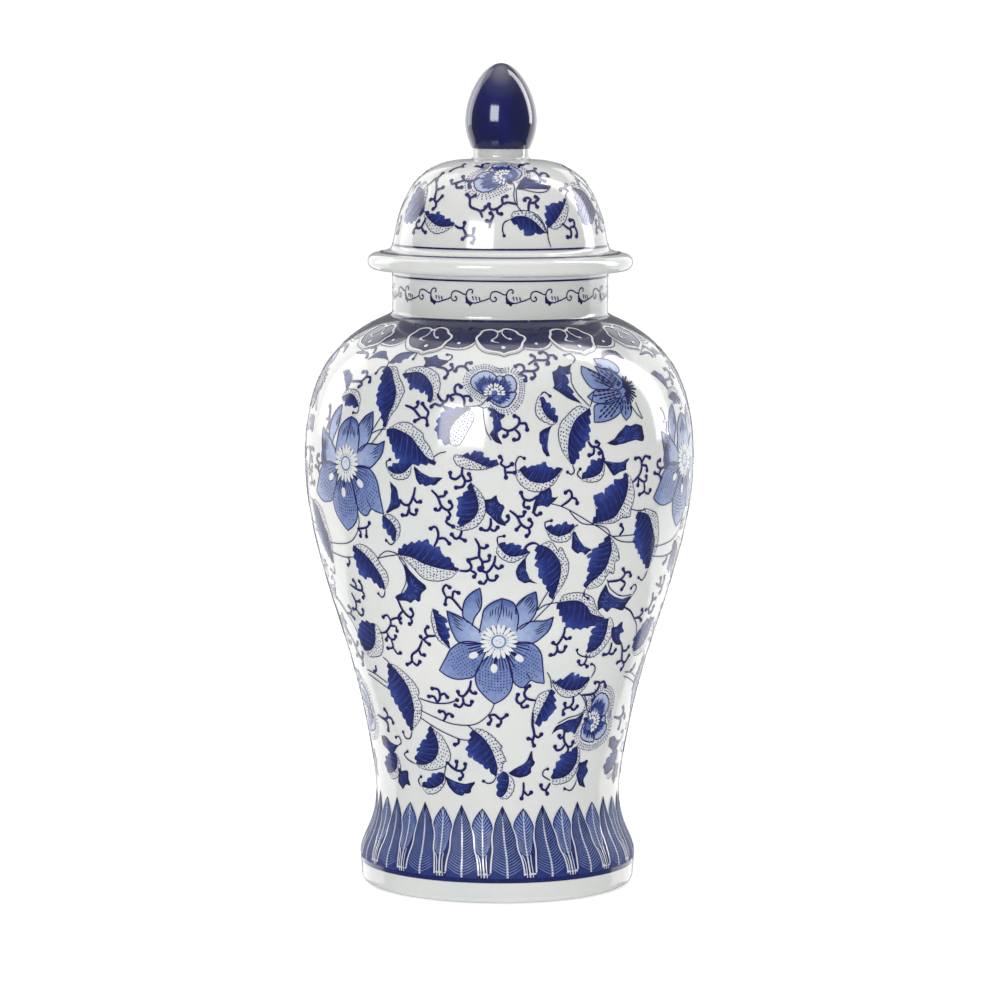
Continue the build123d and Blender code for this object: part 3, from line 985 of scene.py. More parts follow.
def lower_leaves(art):
    """Leaves from the clematis down to the foot border."""
    solid(art,
          ((-30.4, 197.2), (-28.3, 192.4), (-23.3, 184.3), (-25.6, 180.5), (-26.6, 175.2), (-28.3, 177.4),
           (-29.8, 174.3), (-31.5, 176), (-35.2, 175.3), (-35.8, 177.4), (-31.8, 180.2), (-29.8, 185)))
    leaf(art, ((-22.2, 172.1), (-21.6, 164.3), (-20.8, 156.1), (-17.2, 148)),
         dark=((-20, 168), (-18.9, 166), (-18.1, 168), (-18.2, 164.3), (-18.9, 158.6), (-17.3, 160.5),
               (-18.3, 151.8)),
         pale=((-22.9, 166), (-22.6, 160), (-21.4, 154)))
    leaf(art, ((-48.2, 159.6), (-50.5, 148.6), (-54.3, 143), (-59.7, 141.1)),
         dark=((-50.5, 157.4), (-52.4, 159.3), (-56.3, 158.6), (-58.4, 155.1), (-61.6, 149)),
         pale=((-46.7, 158), (-45.9, 151.8), (-47.5, 143.6), (-50.5, 139.9), (-57, 138.5)))
    solid(art,
          ((22, 216.6), (21.8, 212.5), (22, 206.9), (24.3, 203.8), (25.6, 205), (27, 202.3), (28, 204.6),
           (29.2, 205.8), (26.4, 208.4), (24.2, 212.6), (23, 217)))
    leaf(art,
         ((34.6, 213.8), (36, 206.3), (35.7, 200.5), (35, 195.5), (32.7, 190.5), (30, 186.8),
          (28.5, 183)),
         dark=((33, 209.4), (28, 203), (29.6, 200.6), (28.6, 196), (29.6, 192.4), (28.5, 186.8)),
         pale=((37.6, 206.9), (38.8, 203), (39.6, 198.6), (38, 198.6), (38.4, 191.1), (36.5, 192.4),
               (34.2, 185.5), (30.4, 183.6)),
         hook=((28.5, 183), (28.4, 179.8), (30.2, 177.6)))
    leaf(art, ((44.8, 225.3), (49.6, 222.5), (53.3, 212.5), (55, 206.3), (54.8, 191.1)),
         dark=((45, 217), (44.8, 208.8), (47, 204.4), (51, 196.8)),
         pale=((47.6, 226.3), (51.3, 224.4), (54.3, 220.6), (57, 205)),
         hook=((54.6, 190.5), (53, 185), (50.4, 187)))
    solid(art,
          ((7.8, 202.8), (5.6, 198.6), (4.9, 194.3), (6, 189.9), (8.3, 187.1), (9, 188.4), (12.5, 187.5),
           (9.8, 190.5), (8.4, 195.5)))
    leaf(art, ((19.3, 176.1), (23.5, 176.8), (27.3, 176.1), (30.4, 172.4), (32.7, 168), (38.8, 164.9)),
         dark=((20.8, 170.5), (22.7, 164.9), (24.3, 161.4), (28.8, 160.2), (33.4, 161.1), (36.5, 163)),
         pale=((21.2, 179.9), (24.6, 181.1), (28.1, 180.5), (31.9, 177.4), (33.1, 173.6), (35.5, 168.4)))
    solid(art,
          ((36.2, 185.3), (34.3, 180), (34, 175.5), (35, 169.3), (36.5, 171.1), (39.2, 167.8),
           (40.5, 170.5), (46.1, 168), (47.5, 171), (49.9, 176.8), (44.9, 175.5), (41.1, 177.2),
           (38.2, 180.6)),
          hook=((49.4, 176.5), (50.6, 180.5), (49.3, 183.3), (47.9, 181.1)))
    stem(art, ((36.3, 188), (38, 183), (41.5, 178.8), (45, 177), (49, 177.3)))
    leaf(art, ((40.3, 164.5), (40.7, 156.8), (39.9, 150.5), (37.3, 146.1), (33.8, 144.6)),
         dark=((36.5, 161), (34.3, 158.6), (35.2, 155.5), (34, 152.4), (34.4, 149.3)),
         pale=((41.1, 164.8), (43.4, 159.3), (43.4, 153), (41.1, 146.8), (37.3, 142.4), (33.4, 142.4)),
         hook=((36, 142.2), (32.4, 142.8), (30, 144.8), (29.4, 147)))
    solid(art,
          ((43, 158.7), (45.5, 158.3), (47.8, 161.7), (48.3, 158), (50.1, 155), (48, 154.3),
           (48.8, 150.5), (51.2, 146.9), (47.5, 148), (45, 150.5), (43.8, 154)))
    leaf(art,
         ((-45.6, 137), (-40.6, 129.3), (-37.8, 122.7), (-36.8, 115.3), (-36.8, 110), (-38.1, 102.7),
          (-39.1, 97.3)),
         dark=((-46.6, 130), (-48.7, 121.3), (-47.2, 115.3), (-44.2, 109.3), (-41.7, 102.7)),
         pale=((-42, 135), (-36.6, 129.3), (-33, 122), (-34, 118), (-32.6, 113.3), (-34, 106),
               (-36.1, 102)),
         hook=((-39.4, 97.4), (-40.9, 93), (-43.8, 92.8), (-44.7, 96)))
    leaf(art, ((-29.2, 102), (-26.9, 94), (-26.9, 87.3), (-29.4, 82), (-34.5, 78.7), (-39.6, 78.2)),
         dark=((-30.2, 98), (-32, 93), (-36, 90.5), (-34.6, 89.4), (-37.6, 86.7), (-35.6, 85.2),
               (-39.2, 83), (-38.5, 80)),
         pale=((-28.4, 99.5), (-25, 96.5), (-22.5, 91), (-21.3, 86), (-22.4, 81), (-26.5, 77.6),
               (-33, 75.9), (-37.5, 77)),
         hook=((-39.6, 78.2), (-44.2, 80.3), (-45.9, 83), (-43.6, 84.9)))
    leaf(art, ((-24.6, 74.5), (-25.4, 70.2), (-28.6, 66.9), (-32.6, 65.3), (-37.6, 65.8)),
         dark=((-26.5, 73.8), (-28.7, 74), (-31, 72.3), (-33.5, 69)),
         pale=((-24.6, 70), (-27, 65.5), (-30, 63), (-34, 62.3)),
         hook=((-37.8, 65.8), (-39, 69), (-37.2, 71.3)))
    solid(art,
          ((-24.8, 73.4), (-22, 71.2), (-19, 69.8), (-15, 69.2), (-10, 70.4), (-12.2, 67), (-12.6, 64.2),
           (-15.4, 64.2), (-16.4, 62.6), (-18.5, 62.8), (-20.5, 64.5), (-23, 67.8)))
    leaf(art, ((-10.4, 101), (-6.6, 96.7), (-3.6, 91.3), (-1.6, 85.3), (-0.3, 79), (-0.8, 73.5)),
         dark=((-11.5, 95), (-13.2, 89), (-12.5, 85.3), (-10.4, 86.5), (-9.6, 82.6), (-7.6, 83),
               (-6, 79.8), (-3.4, 79)),
         pale=((-9.3, 101.9), (-6, 101.2), (-3, 98.6), (0, 94.5), (2.5, 90.6), (1.2, 90.8), (4, 82.8),
               (2.6, 82.4), (1.8, 76)),
         hook=((-0.8, 73.6), (-2, 71), (-4.4, 70), (-6.4, 71.3)))
    leaf(art, ((4.7, 75), (4.8, 70), (3.6, 65), (1, 61.5)),
         dark=((3, 76.2), (0.6, 74.4), (0.4, 70), (0.2, 65)),
         pale=((5.6, 74), (7.2, 70), (6.6, 65), (4, 61.6)))
    solid(art,
          ((4.7, 76), (8.7, 79), (11.5, 81), (13.5, 84), (14.8, 89), (15.1, 83.5), (16.4, 82.4),
           (16.1, 80), (14.5, 79), (14.8, 76), (12.9, 74), (9.7, 73.5), (6, 74.8)))
    leaf(art, ((22.3, 128.2), (25.5, 124.8), (30, 123), (34, 123.8), (37.8, 128.5)),
         dark=((27, 130), (28.5, 133.5), (30.3, 130.4), (32, 131.4), (32.9, 129), (34.8, 130),
               (36.6, 128.6)),
         pale=((20.8, 130), (22.6, 125), (25.7, 120.3), (30, 119), (33, 120.2), (36, 124)),
         hook=((38, 129), (39.3, 133), (38.8, 136.3), (37, 137.6)))
    leaf(art, ((20.9, 124.6), (19, 117), (17.3, 112), (15.3, 104.2)),
         dark=((22.1, 121), (22.7, 117), (23.5, 111), (21.5, 110.6), (21, 107.6), (18.5, 106),
               (17, 103.4)),
         pale=((19.6, 123.4), (16.2, 121), (15, 116), (14.3, 110.5)))
    solid(art,
          ((23.2, 97.6), (25, 102), (29.5, 104.8), (34, 105.6), (37.9, 108.8), (37.2, 104.5),
           (35.5, 100.5), (34.9, 96.8), (32.3, 98.8), (30.4, 97.8), (28.7, 100.4), (26, 100.6)))
    stem(art, ((25.5, 103.8), (30, 106.6), (35, 107.8), (38.3, 110.2)))
    leaf(art, ((36.7, 89.5), (37.4, 84), (36.8, 79), (33.8, 74), (29.9, 72), (25, 71.6)),
         dark=((34, 85.8), (29.4, 85.8), (29, 82), (26.8, 79.8), (27.2, 77.3), (25.7, 75.2)),
         pale=((38, 87), (38.6, 83), (38.2, 77.5), (35.8, 71.5), (31.5, 69), (26, 68.8)),
         hook=((24.4, 70.8), (20.6, 74), (21, 77), (22.7, 77.6)))
    solid(art,
          ((39, 79.7), (41.3, 79.2), (44.2, 80.8), (43.4, 77), (45.2, 74.4), (44, 72), (42.6, 69.2),
           (44.4, 64.6), (41, 66), (39.2, 70), (38, 73), (39.2, 76)),
          hook=((38.5, 70), (37.6, 66.5), (35.5, 64), (32.2, 65.3)))
    solid(art,
          ((-62, 91), (-58, 91), (-55, 88.5), (-51, 87), (-48.9, 87.8), (-51.5, 85), (-54, 82.5),
           (-56, 81.2), (-58.4, 84), (-62, 86)),
          hook=((-49.4, 87.4), (-46.9, 89.5), (-48, 93), (-50, 92)))
    leaf(art, ((-52, 82.5), (-51.6, 78), (-54.6, 72), (-60, 69.6)),
         dark=((-56.5, 80.6), (-60, 79), (-63, 74)),
         pale=((-50.6, 80), (-50, 74), (-53, 69), (-58, 67)))
    solid(art,
          ((-51.8, 74.6), (-49, 72), (-47.5, 73.2), (-44.8, 73.2), (-45.6, 69), (-44.4, 64.8),
           (-47.3, 66), (-50, 62.2), (-52.8, 66), (-51.6, 70)))


def stems(art):
    """Thin branches, often drawn as two lines side by side."""
    stem(art, ((-36.8, 278.6), (-38.4, 274), (-40.2, 268.4)), ((-35.2, 275), (-36.2, 270.5), (-40, 262)),
         ((-39.9, 268), (-37.5, 270), (-35, 270.8)), ((-40.6, 309.5), (-40.5, 306)),
         ((-19, 257), (-17.4, 259.2), (-15.3, 260.3)),
         ((-3.6, 289.6), (-5, 286.6), (-6.5, 285.3), (-10.2, 284.8)),
         ((-6.3, 285.2), (-4.6, 284.2), (-3.6, 284.6)),
         ((-40.3, 198.6), (-38.5, 201.5), (-36, 203.8), (-33.5, 203.3), (-32, 202.4)),
         ((-40, 199), (-36, 200.9), (-32, 202.4), (-28.5, 205.8)),
         ((-32.2, 202), (-30.3, 199), (-29, 194)),
         ((-31.8, 200.6), (-30.3, 195), (-30.4, 187), (-33, 179.6)),
         ((-67, 203.6), (-57, 204.5), (-51.5, 206.5), (-48, 211), (-46, 217), (-45.6, 222.6)),
         ((-67, 199), (-57, 197), (-50, 198.2)),
         ((15, 232.6), (18, 231), (21, 228.3), (25, 224), (28.5, 220.3), (31, 218), (35, 213.3),
          (38, 212.6), (45, 212.5)),
         ((20.5, 228.7), (22.4, 224.5), (25, 221), (28.5, 220)),
         ((28.6, 220), (31.4, 219), (33.7, 217), (34.9, 213.8)),
         ((35.4, 213), (38.5, 210), (42, 208.7), (46, 208.4)), ((41.4, 227.5), (44.5, 226), (48, 226)),
         ((23.6, 220.6), (22.6, 219.4)), ((12.5, 171.6), (14, 177), (16.2, 184.2)),
         ((12.8, 172), (15, 174.8), (17.5, 175.8), (19.5, 176.2)),
         ((11.7, 165.6), (14, 170), (17.3, 176.3), (18.2, 179.5)), ((9.3, 205.9), (8, 202.4), (8.2, 196)),
         ((54.2, 162), (57, 157.5), (59.4, 150), (62, 147)),
         ((-33.5, 110.5), (-27, 107), (-20, 104), (-14, 103.3), (-10, 104), (-6.5, 106.5), (-3, 111.5),
          (-1.5, 116.5)),
         ((-34, 106), (-30, 103), (-25, 99.5), (-18, 95.8), (-14.5, 94.7), (-11.2, 95)),
         ((-13, 103.5), (-11.5, 102.2), (-10.3, 100.6)), ((-10.9, 100), (-11.2, 95)),
         ((-62, 127), (-57, 125), (-49, 120.6)), ((-62, 129.5), (-56, 128), (-49, 124)),
         ((-48, 139.5), (-45.6, 137)), ((18.5, 134.7), (20, 131), (21, 125)), ((21, 129.8), (22.4, 127)),
         ((33, 120.8), (35, 119.3), (37.5, 115), (39, 110.5), (41.5, 107.5), (43, 104)),
         ((36.4, 119.3), (38, 115.5), (38.7, 111)), ((-23, 82), (-24, 77), (-24.7, 73.5)),
         ((30.4, 293), (28, 284)), ((47, 171), (46.3, 168.5)))
    art.line.stroke(((46.5, 170.3), (50.5, 167.3), (54.2, 162)), 1.1, taper=0.9, end=0.9)
    art.line.stroke(((11.8, 210), (10.3, 211), (8.6, 210), (7.6, 207), (9.3, 205.9)), 1.5, NIGHT)


def upper_scrolls(art):
    """Branching tendrils above the widest part."""
    scroll(art, ((-54, 295.2), (-51, 295.6), (-49, 295.4), (-48.2, 293.6), (-49.3, 292.6)),
           ((-49.2, 295.6), (-47.7, 298.4), (-48.2, 301.6), (-50.2, 301.4)),
           ((-47.6, 298.6), (-45.6, 298.6), (-45.2, 296)))
    scroll(art, ((-50.6, 313.6), (-51.2, 316.6), (-52.6, 318.6), (-54, 317.8)),
           ((-61, 313), (-56, 313.8), (-53.6, 313), (-53, 311)))
    scroll(art, ((-21.6, 307.4), (-18.6, 306.6), (-16.9, 303.8), (-17.6, 300.8)),
           ((-17.1, 304.8), (-15.6, 306.6), (-16.4, 309)))
    scroll(art, ((-10, 305), (-11.8, 308), (-14, 307.8), (-14.6, 305.2)),
           ((-11.6, 308), (-11.2, 310.6), (-9.8, 310.5)))
    scroll(art, ((-19.3, 291.5), (-18, 288.2), (-16.4, 287.2), (-15.7, 290.2)),
           ((-16.6, 287.4), (-17.8, 284.8), (-19.6, 285.8), (-20.6, 284.2)), ((-17.2, 285), (-16, 283.6)))
    scroll(art,
           ((-10.5, 285), (-10.7, 288.6), (-11.8, 291), (-13.4, 291.8), (-14, 295.4), (-12.9, 297.2),
            (-12, 295.6)),
           ((-11.2, 290.4), (-9.2, 290.5), (-8.6, 288.3)), ((-13.2, 291.6), (-15, 290.6), (-14.4, 288.4)))
    scroll(art, ((-29.3, 284.3), (-26.6, 282.8), (-24.6, 279.6), (-23.8, 277.8), (-25.4, 276)),
           ((-26.4, 282.6), (-25.1, 284.2), (-25.2, 286.2)), ((-24, 278), (-21.9, 277.7), (-21.4, 274.2)),
           ((-21.8, 277.9), (-21.4, 281.2), (-22.5, 283.2), (-23.6, 285.6)))
    scroll(art, ((0.6, 273.4), (2.4, 271.9), (4.2, 273), (5.7, 275.8), (5.6, 278.8), (4.4, 279.8)),
           ((5.7, 275.8), (7.6, 275.8), (8, 272.5)),
           ((4.4, 272.8), (5.8, 270), (5.4, 267.3), (4.2, 267.2)), ((2.3, 272), (2.3, 269.4), (1.4, 269)))
    scroll(art, ((6, 303), (8, 305.4), (11, 305.4), (12.9, 307.4), (12.2, 309.9)),
           ((8, 305.5), (7.9, 308.8), (6.3, 309.8), (5.2, 308.5)),
           ((11, 305.3), (11.4, 302.2), (10.3, 300.9)), ((6.6, 303.4), (8.4, 302), (8.1, 299.7)))
    scroll(art, ((9.6, 309.6), (12.1, 312.4), (16.4, 312.6), (17.2, 315.8), (16, 318.4), (14.5, 317.6)),
           ((12.2, 312.6), (12.2, 315.4), (11.2, 316)), ((17.2, 315.8), (19.4, 315.7), (19.8, 313.8)),
           ((16.4, 312.6), (17, 310.2), (16.2, 309.8)))
    scroll(art, ((26.3, 265.6), (27.4, 262.6), (29.2, 262.2), (30.7, 259.6), (31.1, 255.6)),
           ((28.1, 262.2), (27.9, 258.8), (26.5, 258)), ((29.4, 262.3), (30, 264.2), (29, 265)),
           ((30.8, 259.2), (29.8, 258.8)))
    scroll(art, ((41.6, 241.6), (44.4, 245.6), (45.4, 250.6), (44.6, 254.8), (42.8, 254.6)),
           ((45.4, 250.8), (47.4, 250), (47.6, 247.6)), ((45.4, 252), (46.8, 255.4), (48.8, 254.4)))
    scroll(art, ((44, 244), (46.2, 241.6), (47.6, 242.4), (47.3, 244.4)),
           ((46.4, 241.4), (46.8, 236.6), (44.8, 234.8)), ((46.9, 236), (48.6, 234.6), (49.4, 236.6)),
           ((44.2, 243.8), (43.9, 240)), weight=1.3)
    scroll(art, ((56.5, 248.3), (54.4, 247.4), (53.4, 244.6), (54.4, 242.4)),
           ((54.6, 247.4), (52.6, 249), (52.6, 251.6), (53.8, 252.2)), ((53.4, 244.4), (51.2, 245.6)))
    scroll(art, ((57, 272.4), (59.2, 273), (58.6, 268)), ((58.8, 273), (58.4, 278), (57.6, 280)),
           weight=1.6)


def middle_scrolls(art):
    """Branching tendrils between the widest part and the clematis."""
    scroll(art, ((-47, 214.8), (-44.4, 215.4), (-42.4, 216.6), (-41.5, 218.8)),
           ((-43, 215.6), (-43.4, 211)), ((-46.8, 214.6), (-45.6, 213), (-46, 210.8)), weight=1.3)
    scroll(art, ((-24.6, 240.6), (-25.2, 236), (-26.6, 231), (-28.2, 230.6), (-29.6, 232.4)),
           ((-25.3, 235), (-24.3, 232.4), (-23.1, 232.8)),
           ((-26.8, 230.6), (-26.6, 226.4), (-24.8, 225.4), (-24.4, 228)),
           ((-26.9, 228.4), (-27.6, 225), (-29.1, 224.8)))
    scroll(art,
           ((-19.6, 239.4), (-17.8, 236), (-16.7, 231), (-14.8, 228.8), (-13.4, 231), (-14.2, 233.4)),
           ((-17.7, 236), (-15.9, 236.4), (-15.3, 238.4)), ((-16.7, 230.8), (-17.6, 228.2), (-18.5, 229)),
           ((-14.9, 228.8), (-14.1, 226.2), (-14.8, 224.4)),
           ((-14.8, 224.4), (-15.4, 222), (-13.4, 219.8)))
    scroll(art, ((-19.7, 207.8), (-18.4, 212), (-18, 216), (-18.8, 219.4), (-20.3, 218.2)),
           ((-18.2, 212.6), (-16.2, 213.1), (-14.8, 210.3)))
    scroll(art, ((-10.4, 252.6), (-10.6, 248.6), (-9.7, 245), (-10.4, 241.8), (-12.3, 241.2)),
           ((-10.7, 248.4), (-12.2, 245.8), (-13.8, 246.4), (-14, 249)),
           ((-9.7, 244.8), (-8, 245.4), (-8.6, 248.6)))
    scroll(art, ((0.3, 254.4), (1.6, 252.6), (2.6, 252.8), (3.6, 254.2)),
           ((1.5, 252.6), (1.7, 249.8), (1.9, 247)), ((1.8, 249.8), (4.4, 249.6)),
           ((0.3, 254.4), (0.9, 256.4), (0.2, 258)), weight=1.3)
    scroll(art, ((-2.4, 225), (-2.4, 221), (-3.4, 218), (-5.2, 218.9)),
           ((-2.7, 219.2), (-1.4, 217.8), (-0.4, 219.8)),
           ((0.4, 223), (1.8, 222.4), (2.9, 224.4), (2.5, 226)))
    scroll(art, ((11, 237), (9, 234.6), (7, 235.4), (6.2, 238.8)),
           ((7.3, 235.2), (7, 231.4), (8.4, 230.6)), ((9.8, 228.4), (10.8, 226.2), (11.9, 227.4)))
    scroll(art, ((18, 231), (20.2, 233.8), (21.2, 236.6), (20.4, 239.6), (19.2, 238.4)),
           ((20.8, 235.6), (22.4, 234.8), (22.9, 232.4)), weight=1.4)
    scroll(art, ((3, 229.2), (5.1, 226), (6.4, 221.6), (8.5, 219.3), (9.7, 221.8), (8.8, 224)),
           ((5.2, 225.9), (6.9, 226), (7.3, 228.2)), ((6.4, 221.4), (5.1, 218.6)),
           ((8.5, 219.4), (9, 216.8), (8.1, 215)))
    scroll(art, ((-7, 213.6), (-5.8, 209), (-5.9, 203.6), (-5, 200.4), (-5, 197)),
           ((-5.8, 208.8), (-4.2, 207.9), (-3.5, 209.4)), ((-6, 203), (-7.8, 202), (-9.2, 201.2)),
           ((-5.2, 200.2), (-3, 201), (-2.8, 203.8)))
    scroll(art, ((-10.8, 218), (-11.4, 214.6), (-12.8, 213), (-13.9, 215.4)),
           ((-11.6, 213.6), (-10, 212.2)))
    scroll(art, ((-12, 194.9), (-9.4, 195), (-8.3, 197.4), (-9.1, 200.6)),
           ((-8.6, 195.2), (-7, 193.6), (-7.6, 191.6)))
    scroll(art, ((-1, 204), (-1.6, 199), (-3.6, 194.4), (-5.6, 196)),
           ((-1.5, 199), (-0.2, 196.4), (0.9, 197.8)),
           ((-3.7, 194.2), (-3.2, 190.2), (-1.2, 189.8), (-0.6, 192)),
           ((-3.6, 190.4), (-4.6, 187.6), (-5.8, 188.4)))
    art.line.dot((-5.6, 196.2), 1.9, NIGHT)
    scroll(art, ((-12, 171.6), (-13.8, 176), (-15.4, 179), (-17, 178.6), (-17.5, 175)),
           ((-17, 179.2), (-17.9, 183.4), (-16.8, 186.4), (-15.6, 185)),
           ((-14.9, 179), (-14.4, 182.8), (-12.8, 182)), weight=1.4)
    scroll(art, ((23.2, 161.4), (23, 156.4), (21.1, 151), (19.5, 152.2)),
           ((23.1, 156.2), (24.3, 153.9), (25.7, 154.6)),
           ((21.1, 150.8), (21.7, 147), (23.8, 146.4), (24.5, 149.4)),
           ((21.4, 147.6), (20.6, 145), (19.1, 144.9)))
    scroll(art, ((36.8, 186.6), (41.6, 187), (43.4, 190), (42.2, 193.2)),
           ((43.2, 190.8), (45.4, 190.9), (46.2, 188.7)), ((42, 187), (44.4, 184.6), (43.4, 181.2)))
    scroll(art, ((38.4, 213), (39.6, 216), (38.5, 218.8)), weight=1.4)
    scroll(art, ((-35, 176.6), (-33.5, 169.4), (-31.2, 165.8), (-29.6, 167.8), (-30.2, 170.6)),
           ((-31, 166), (-30.6, 163.2), (-31.8, 161.7)), ((-33.6, 169.4), (-36, 165.2), (-35.4, 162)))
    scroll(art,
           ((-46.4, 154.3), (-43.4, 155.2), (-40.4, 159.6), (-39.8, 163), (-41, 165.8), (-42.9, 164.2)),
           ((-39.9, 162.8), (-37.4, 164.4), (-35.2, 164.8)),
           ((-40.4, 159.4), (-38, 159.4), (-37.8, 156.8)),
           ((-43, 155.2), (-41.8, 151.6), (-39.8, 151.4), (-39, 153.4)),
           ((-41.4, 150.8), (-41.4, 146.4), (-44.2, 145.4)),
           ((-41.3, 146), (-39.8, 142.8), (-38.3, 143.6)), ((-42.6, 153.4), (-44, 150.4)), weight=1.3)
    scroll(art, ((-22.2, 155.8), (-25.4, 155.6), (-26, 159), (-24.8, 160.8)),
           ((-24.6, 155.7), (-27, 153), (-25.2, 150.4)), ((-27.2, 152.8), (-28.2, 154.6)),
           ((-27.8, 152.4), (-29.8, 147), (-33.2, 143), (-33.8, 139), (-36.2, 137)),
           ((-29.8, 146.8), (-29.2, 143.8), (-27.8, 143.7)),
           ((-33.6, 139.4), (-31.8, 137), (-30.2, 139.4)))
    scroll(art, ((-57, 181), (-53.4, 178.8), (-50.6, 178.6), (-50.2, 181.6), (-50.9, 183.8)),
           ((-54, 179.2), (-53.2, 181.6), (-54.3, 183.8)), ((-50.6, 178.4), (-49.9, 175.8), (-51, 174.2)))
    scroll(art, ((-57.4, 176), (-56.2, 170.6), (-57.2, 166.4), (-59.2, 166)),
           ((-56.2, 171), (-53.6, 171.6)), ((-57, 166.2), (-55.4, 163), (-53.4, 164), (-53, 166.6)),
           weight=1.4)
    scroll(art, ((-54, 197.4), (-53.9, 194.2), (-55.3, 192.5)))


def lower_scrolls(art):
    """Branching tendrils from the clematis down to the foot border."""
    scroll(art, ((54.2, 162), (57, 162.2), (59.4, 160)), ((57.2, 162.4), (59, 165), (57.6, 166.8)))
    scroll(art, ((50.8, 147), (52.2, 143.4), (53.6, 137.4), (56.2, 135.6), (57.9, 139.2)),
           ((52.4, 143.2), (54.6, 142.8), (55.8, 144.9)), ((53.4, 137.4), (51, 136.3)),
           ((55, 136), (56, 133.6), (54.8, 131.6)))
    scroll(art, ((44.8, 149.4), (45, 145.4), (44, 142.6), (42, 142.6)),
           ((44.8, 142.8), (47, 142.2), (47.9, 144.4)))
    scroll(art, ((34.3, 142), (33.8, 138.6), (32, 137.4), (30.9, 140)), ((33.7, 138.2), (35.2, 136.4)),
           weight=1.3)
    scroll(art, ((-54.2, 133.6), (-54.6, 130.6), (-56.4, 129.2)))
    scroll(art, ((15, 118), (11.6, 119.2), (10.2, 122), (10.8, 125.4)),
           ((11.2, 119.2), (8.8, 116.4), (7.2, 118.8), (7.7, 121.8)),
           ((9, 116.6), (9.8, 114), (11.7, 114.8)), ((10.6, 125.6), (12, 126.8)))
    scroll(art, ((31, 119.4), (31.5, 115.6), (30, 112.8), (28.2, 113), (27.7, 115.2)),
           ((30.5, 113), (32.2, 110.9), (33.7, 113)), ((29.3, 113), (27.3, 111.4), (27.7, 109)))
    scroll(art, ((35, 119.4), (41, 119.5), (43.3, 123), (42.8, 126.2), (40.9, 126)),
           ((43.3, 125), (45.6, 126), (47.2, 122.8)), ((41.2, 119.4), (42.3, 117), (41.3, 115.7)))
    scroll(art, ((32, 86), (31.8, 89.4), (29.8, 92.4), (29, 96.2), (29.4, 99)),
           ((30.2, 91.6), (28.6, 88.6), (26.2, 88.2), (25.3, 90.4)),
           ((31.8, 89.6), (33.6, 89.8), (34.1, 92)), ((29, 95.8), (27.2, 94.8), (26.8, 96.5)))
    scroll(art, ((24.4, 69.4), (22.5, 65.6), (20.5, 66.4), (20, 68.4)), ((22.4, 65.4), (23.3, 63.4)))
    scroll(art, ((11.7, 70.6), (11.8, 65.4), (11, 61.4)), ((12, 65.6), (13.8, 63), (15.4, 64.6)),
           weight=1.3)
    scroll(art, ((-4, 109.2), (-1.4, 110), (1, 107.4), (3.5, 109.8)),
           ((1.2, 107.4), (1.2, 105), (0, 103.6)), ((-3.8, 109.2), (-2.7, 107), (-3.8, 104.6)))
    scroll(art, ((14.2, 111), (14.4, 103.6), (15.4, 98.2), (14.8, 94), (15.6, 91.6)),
           ((15.3, 98.2), (17.2, 96.2), (18.5, 98)), ((14.9, 95), (12.9, 95.8)))
    scroll(art, ((-33, 117.4), (-29, 116), (-24.6, 115.3), (-20, 116), (-16.4, 118)), weight=0.8)
    scroll(art, ((-25, 115.6), (-23.5, 119), (-24, 123.6), (-26.5, 123.9)),
           ((-23.5, 120), (-21.6, 121.4), (-20.4, 119.4)), ((-25.2, 116), (-26.2, 119.2), (-28.5, 119)))
    scroll(art, ((-10.3, 130), (-11.2, 125), (-13.6, 120.6), (-15.4, 121), (-15.8, 123)),
           ((-11, 125), (-10.2, 122.4), (-8.9, 122.6)),
           ((-14, 120), (-13.6, 116), (-11.2, 115), (-10.4, 117.4)),
           ((-13.9, 116.6), (-15.4, 113.8), (-17.3, 114.9)))
    scroll(art, ((-23.2, 105), (-21.8, 108), (-22.6, 110.8), (-24.4, 110.6)),
           ((-21.9, 108.2), (-20.2, 109.9), (-19, 108.4)))
    scroll(art, ((-17, 95.6), (-16.9, 93), (-18.7, 91.8)))
    scroll(art, ((-23.1, 81.6), (-20, 77.8), (-16.8, 76.6), (-14.6, 78.4), (-14.5, 80.8)),
           ((-19.2, 77.6), (-18.4, 79.6), (-18.4, 82)), ((-16.7, 76.6), (-15.6, 74), (-17.2, 72)))
    scroll(art, ((-62, 103), (-57, 101.6), (-53.8, 102.8), (-53.6, 105.6), (-55, 107.4)),
           ((-53.6, 103.2), (-51.2, 102.8), (-50.4, 100.4)), ((-57, 101.6), (-54.4, 99.4), (-55, 95.2)))


# ---------------------------------------------------------------- bands and borders

RUYI = ((-0.9, 335.4), (-2.6, 337), (-5, 337.3), (-7.5, 335.8), (-8.3, 332.5), (-9.4, 330), (-9, 327),
        (-7.6, 323.5), (-5.6, 320.3), (-3, 318.8), (0, 317.9), (1.5, 316.7), (3.4, 318.1), (6, 319.4),
        (8, 322), (8.8, 325.5), (10.1, 328.5), (9.8, 331), (7.9, 333), (6.8, 335.8), (4.5, 337.8),
        (2, 338.2), (0.4, 336))


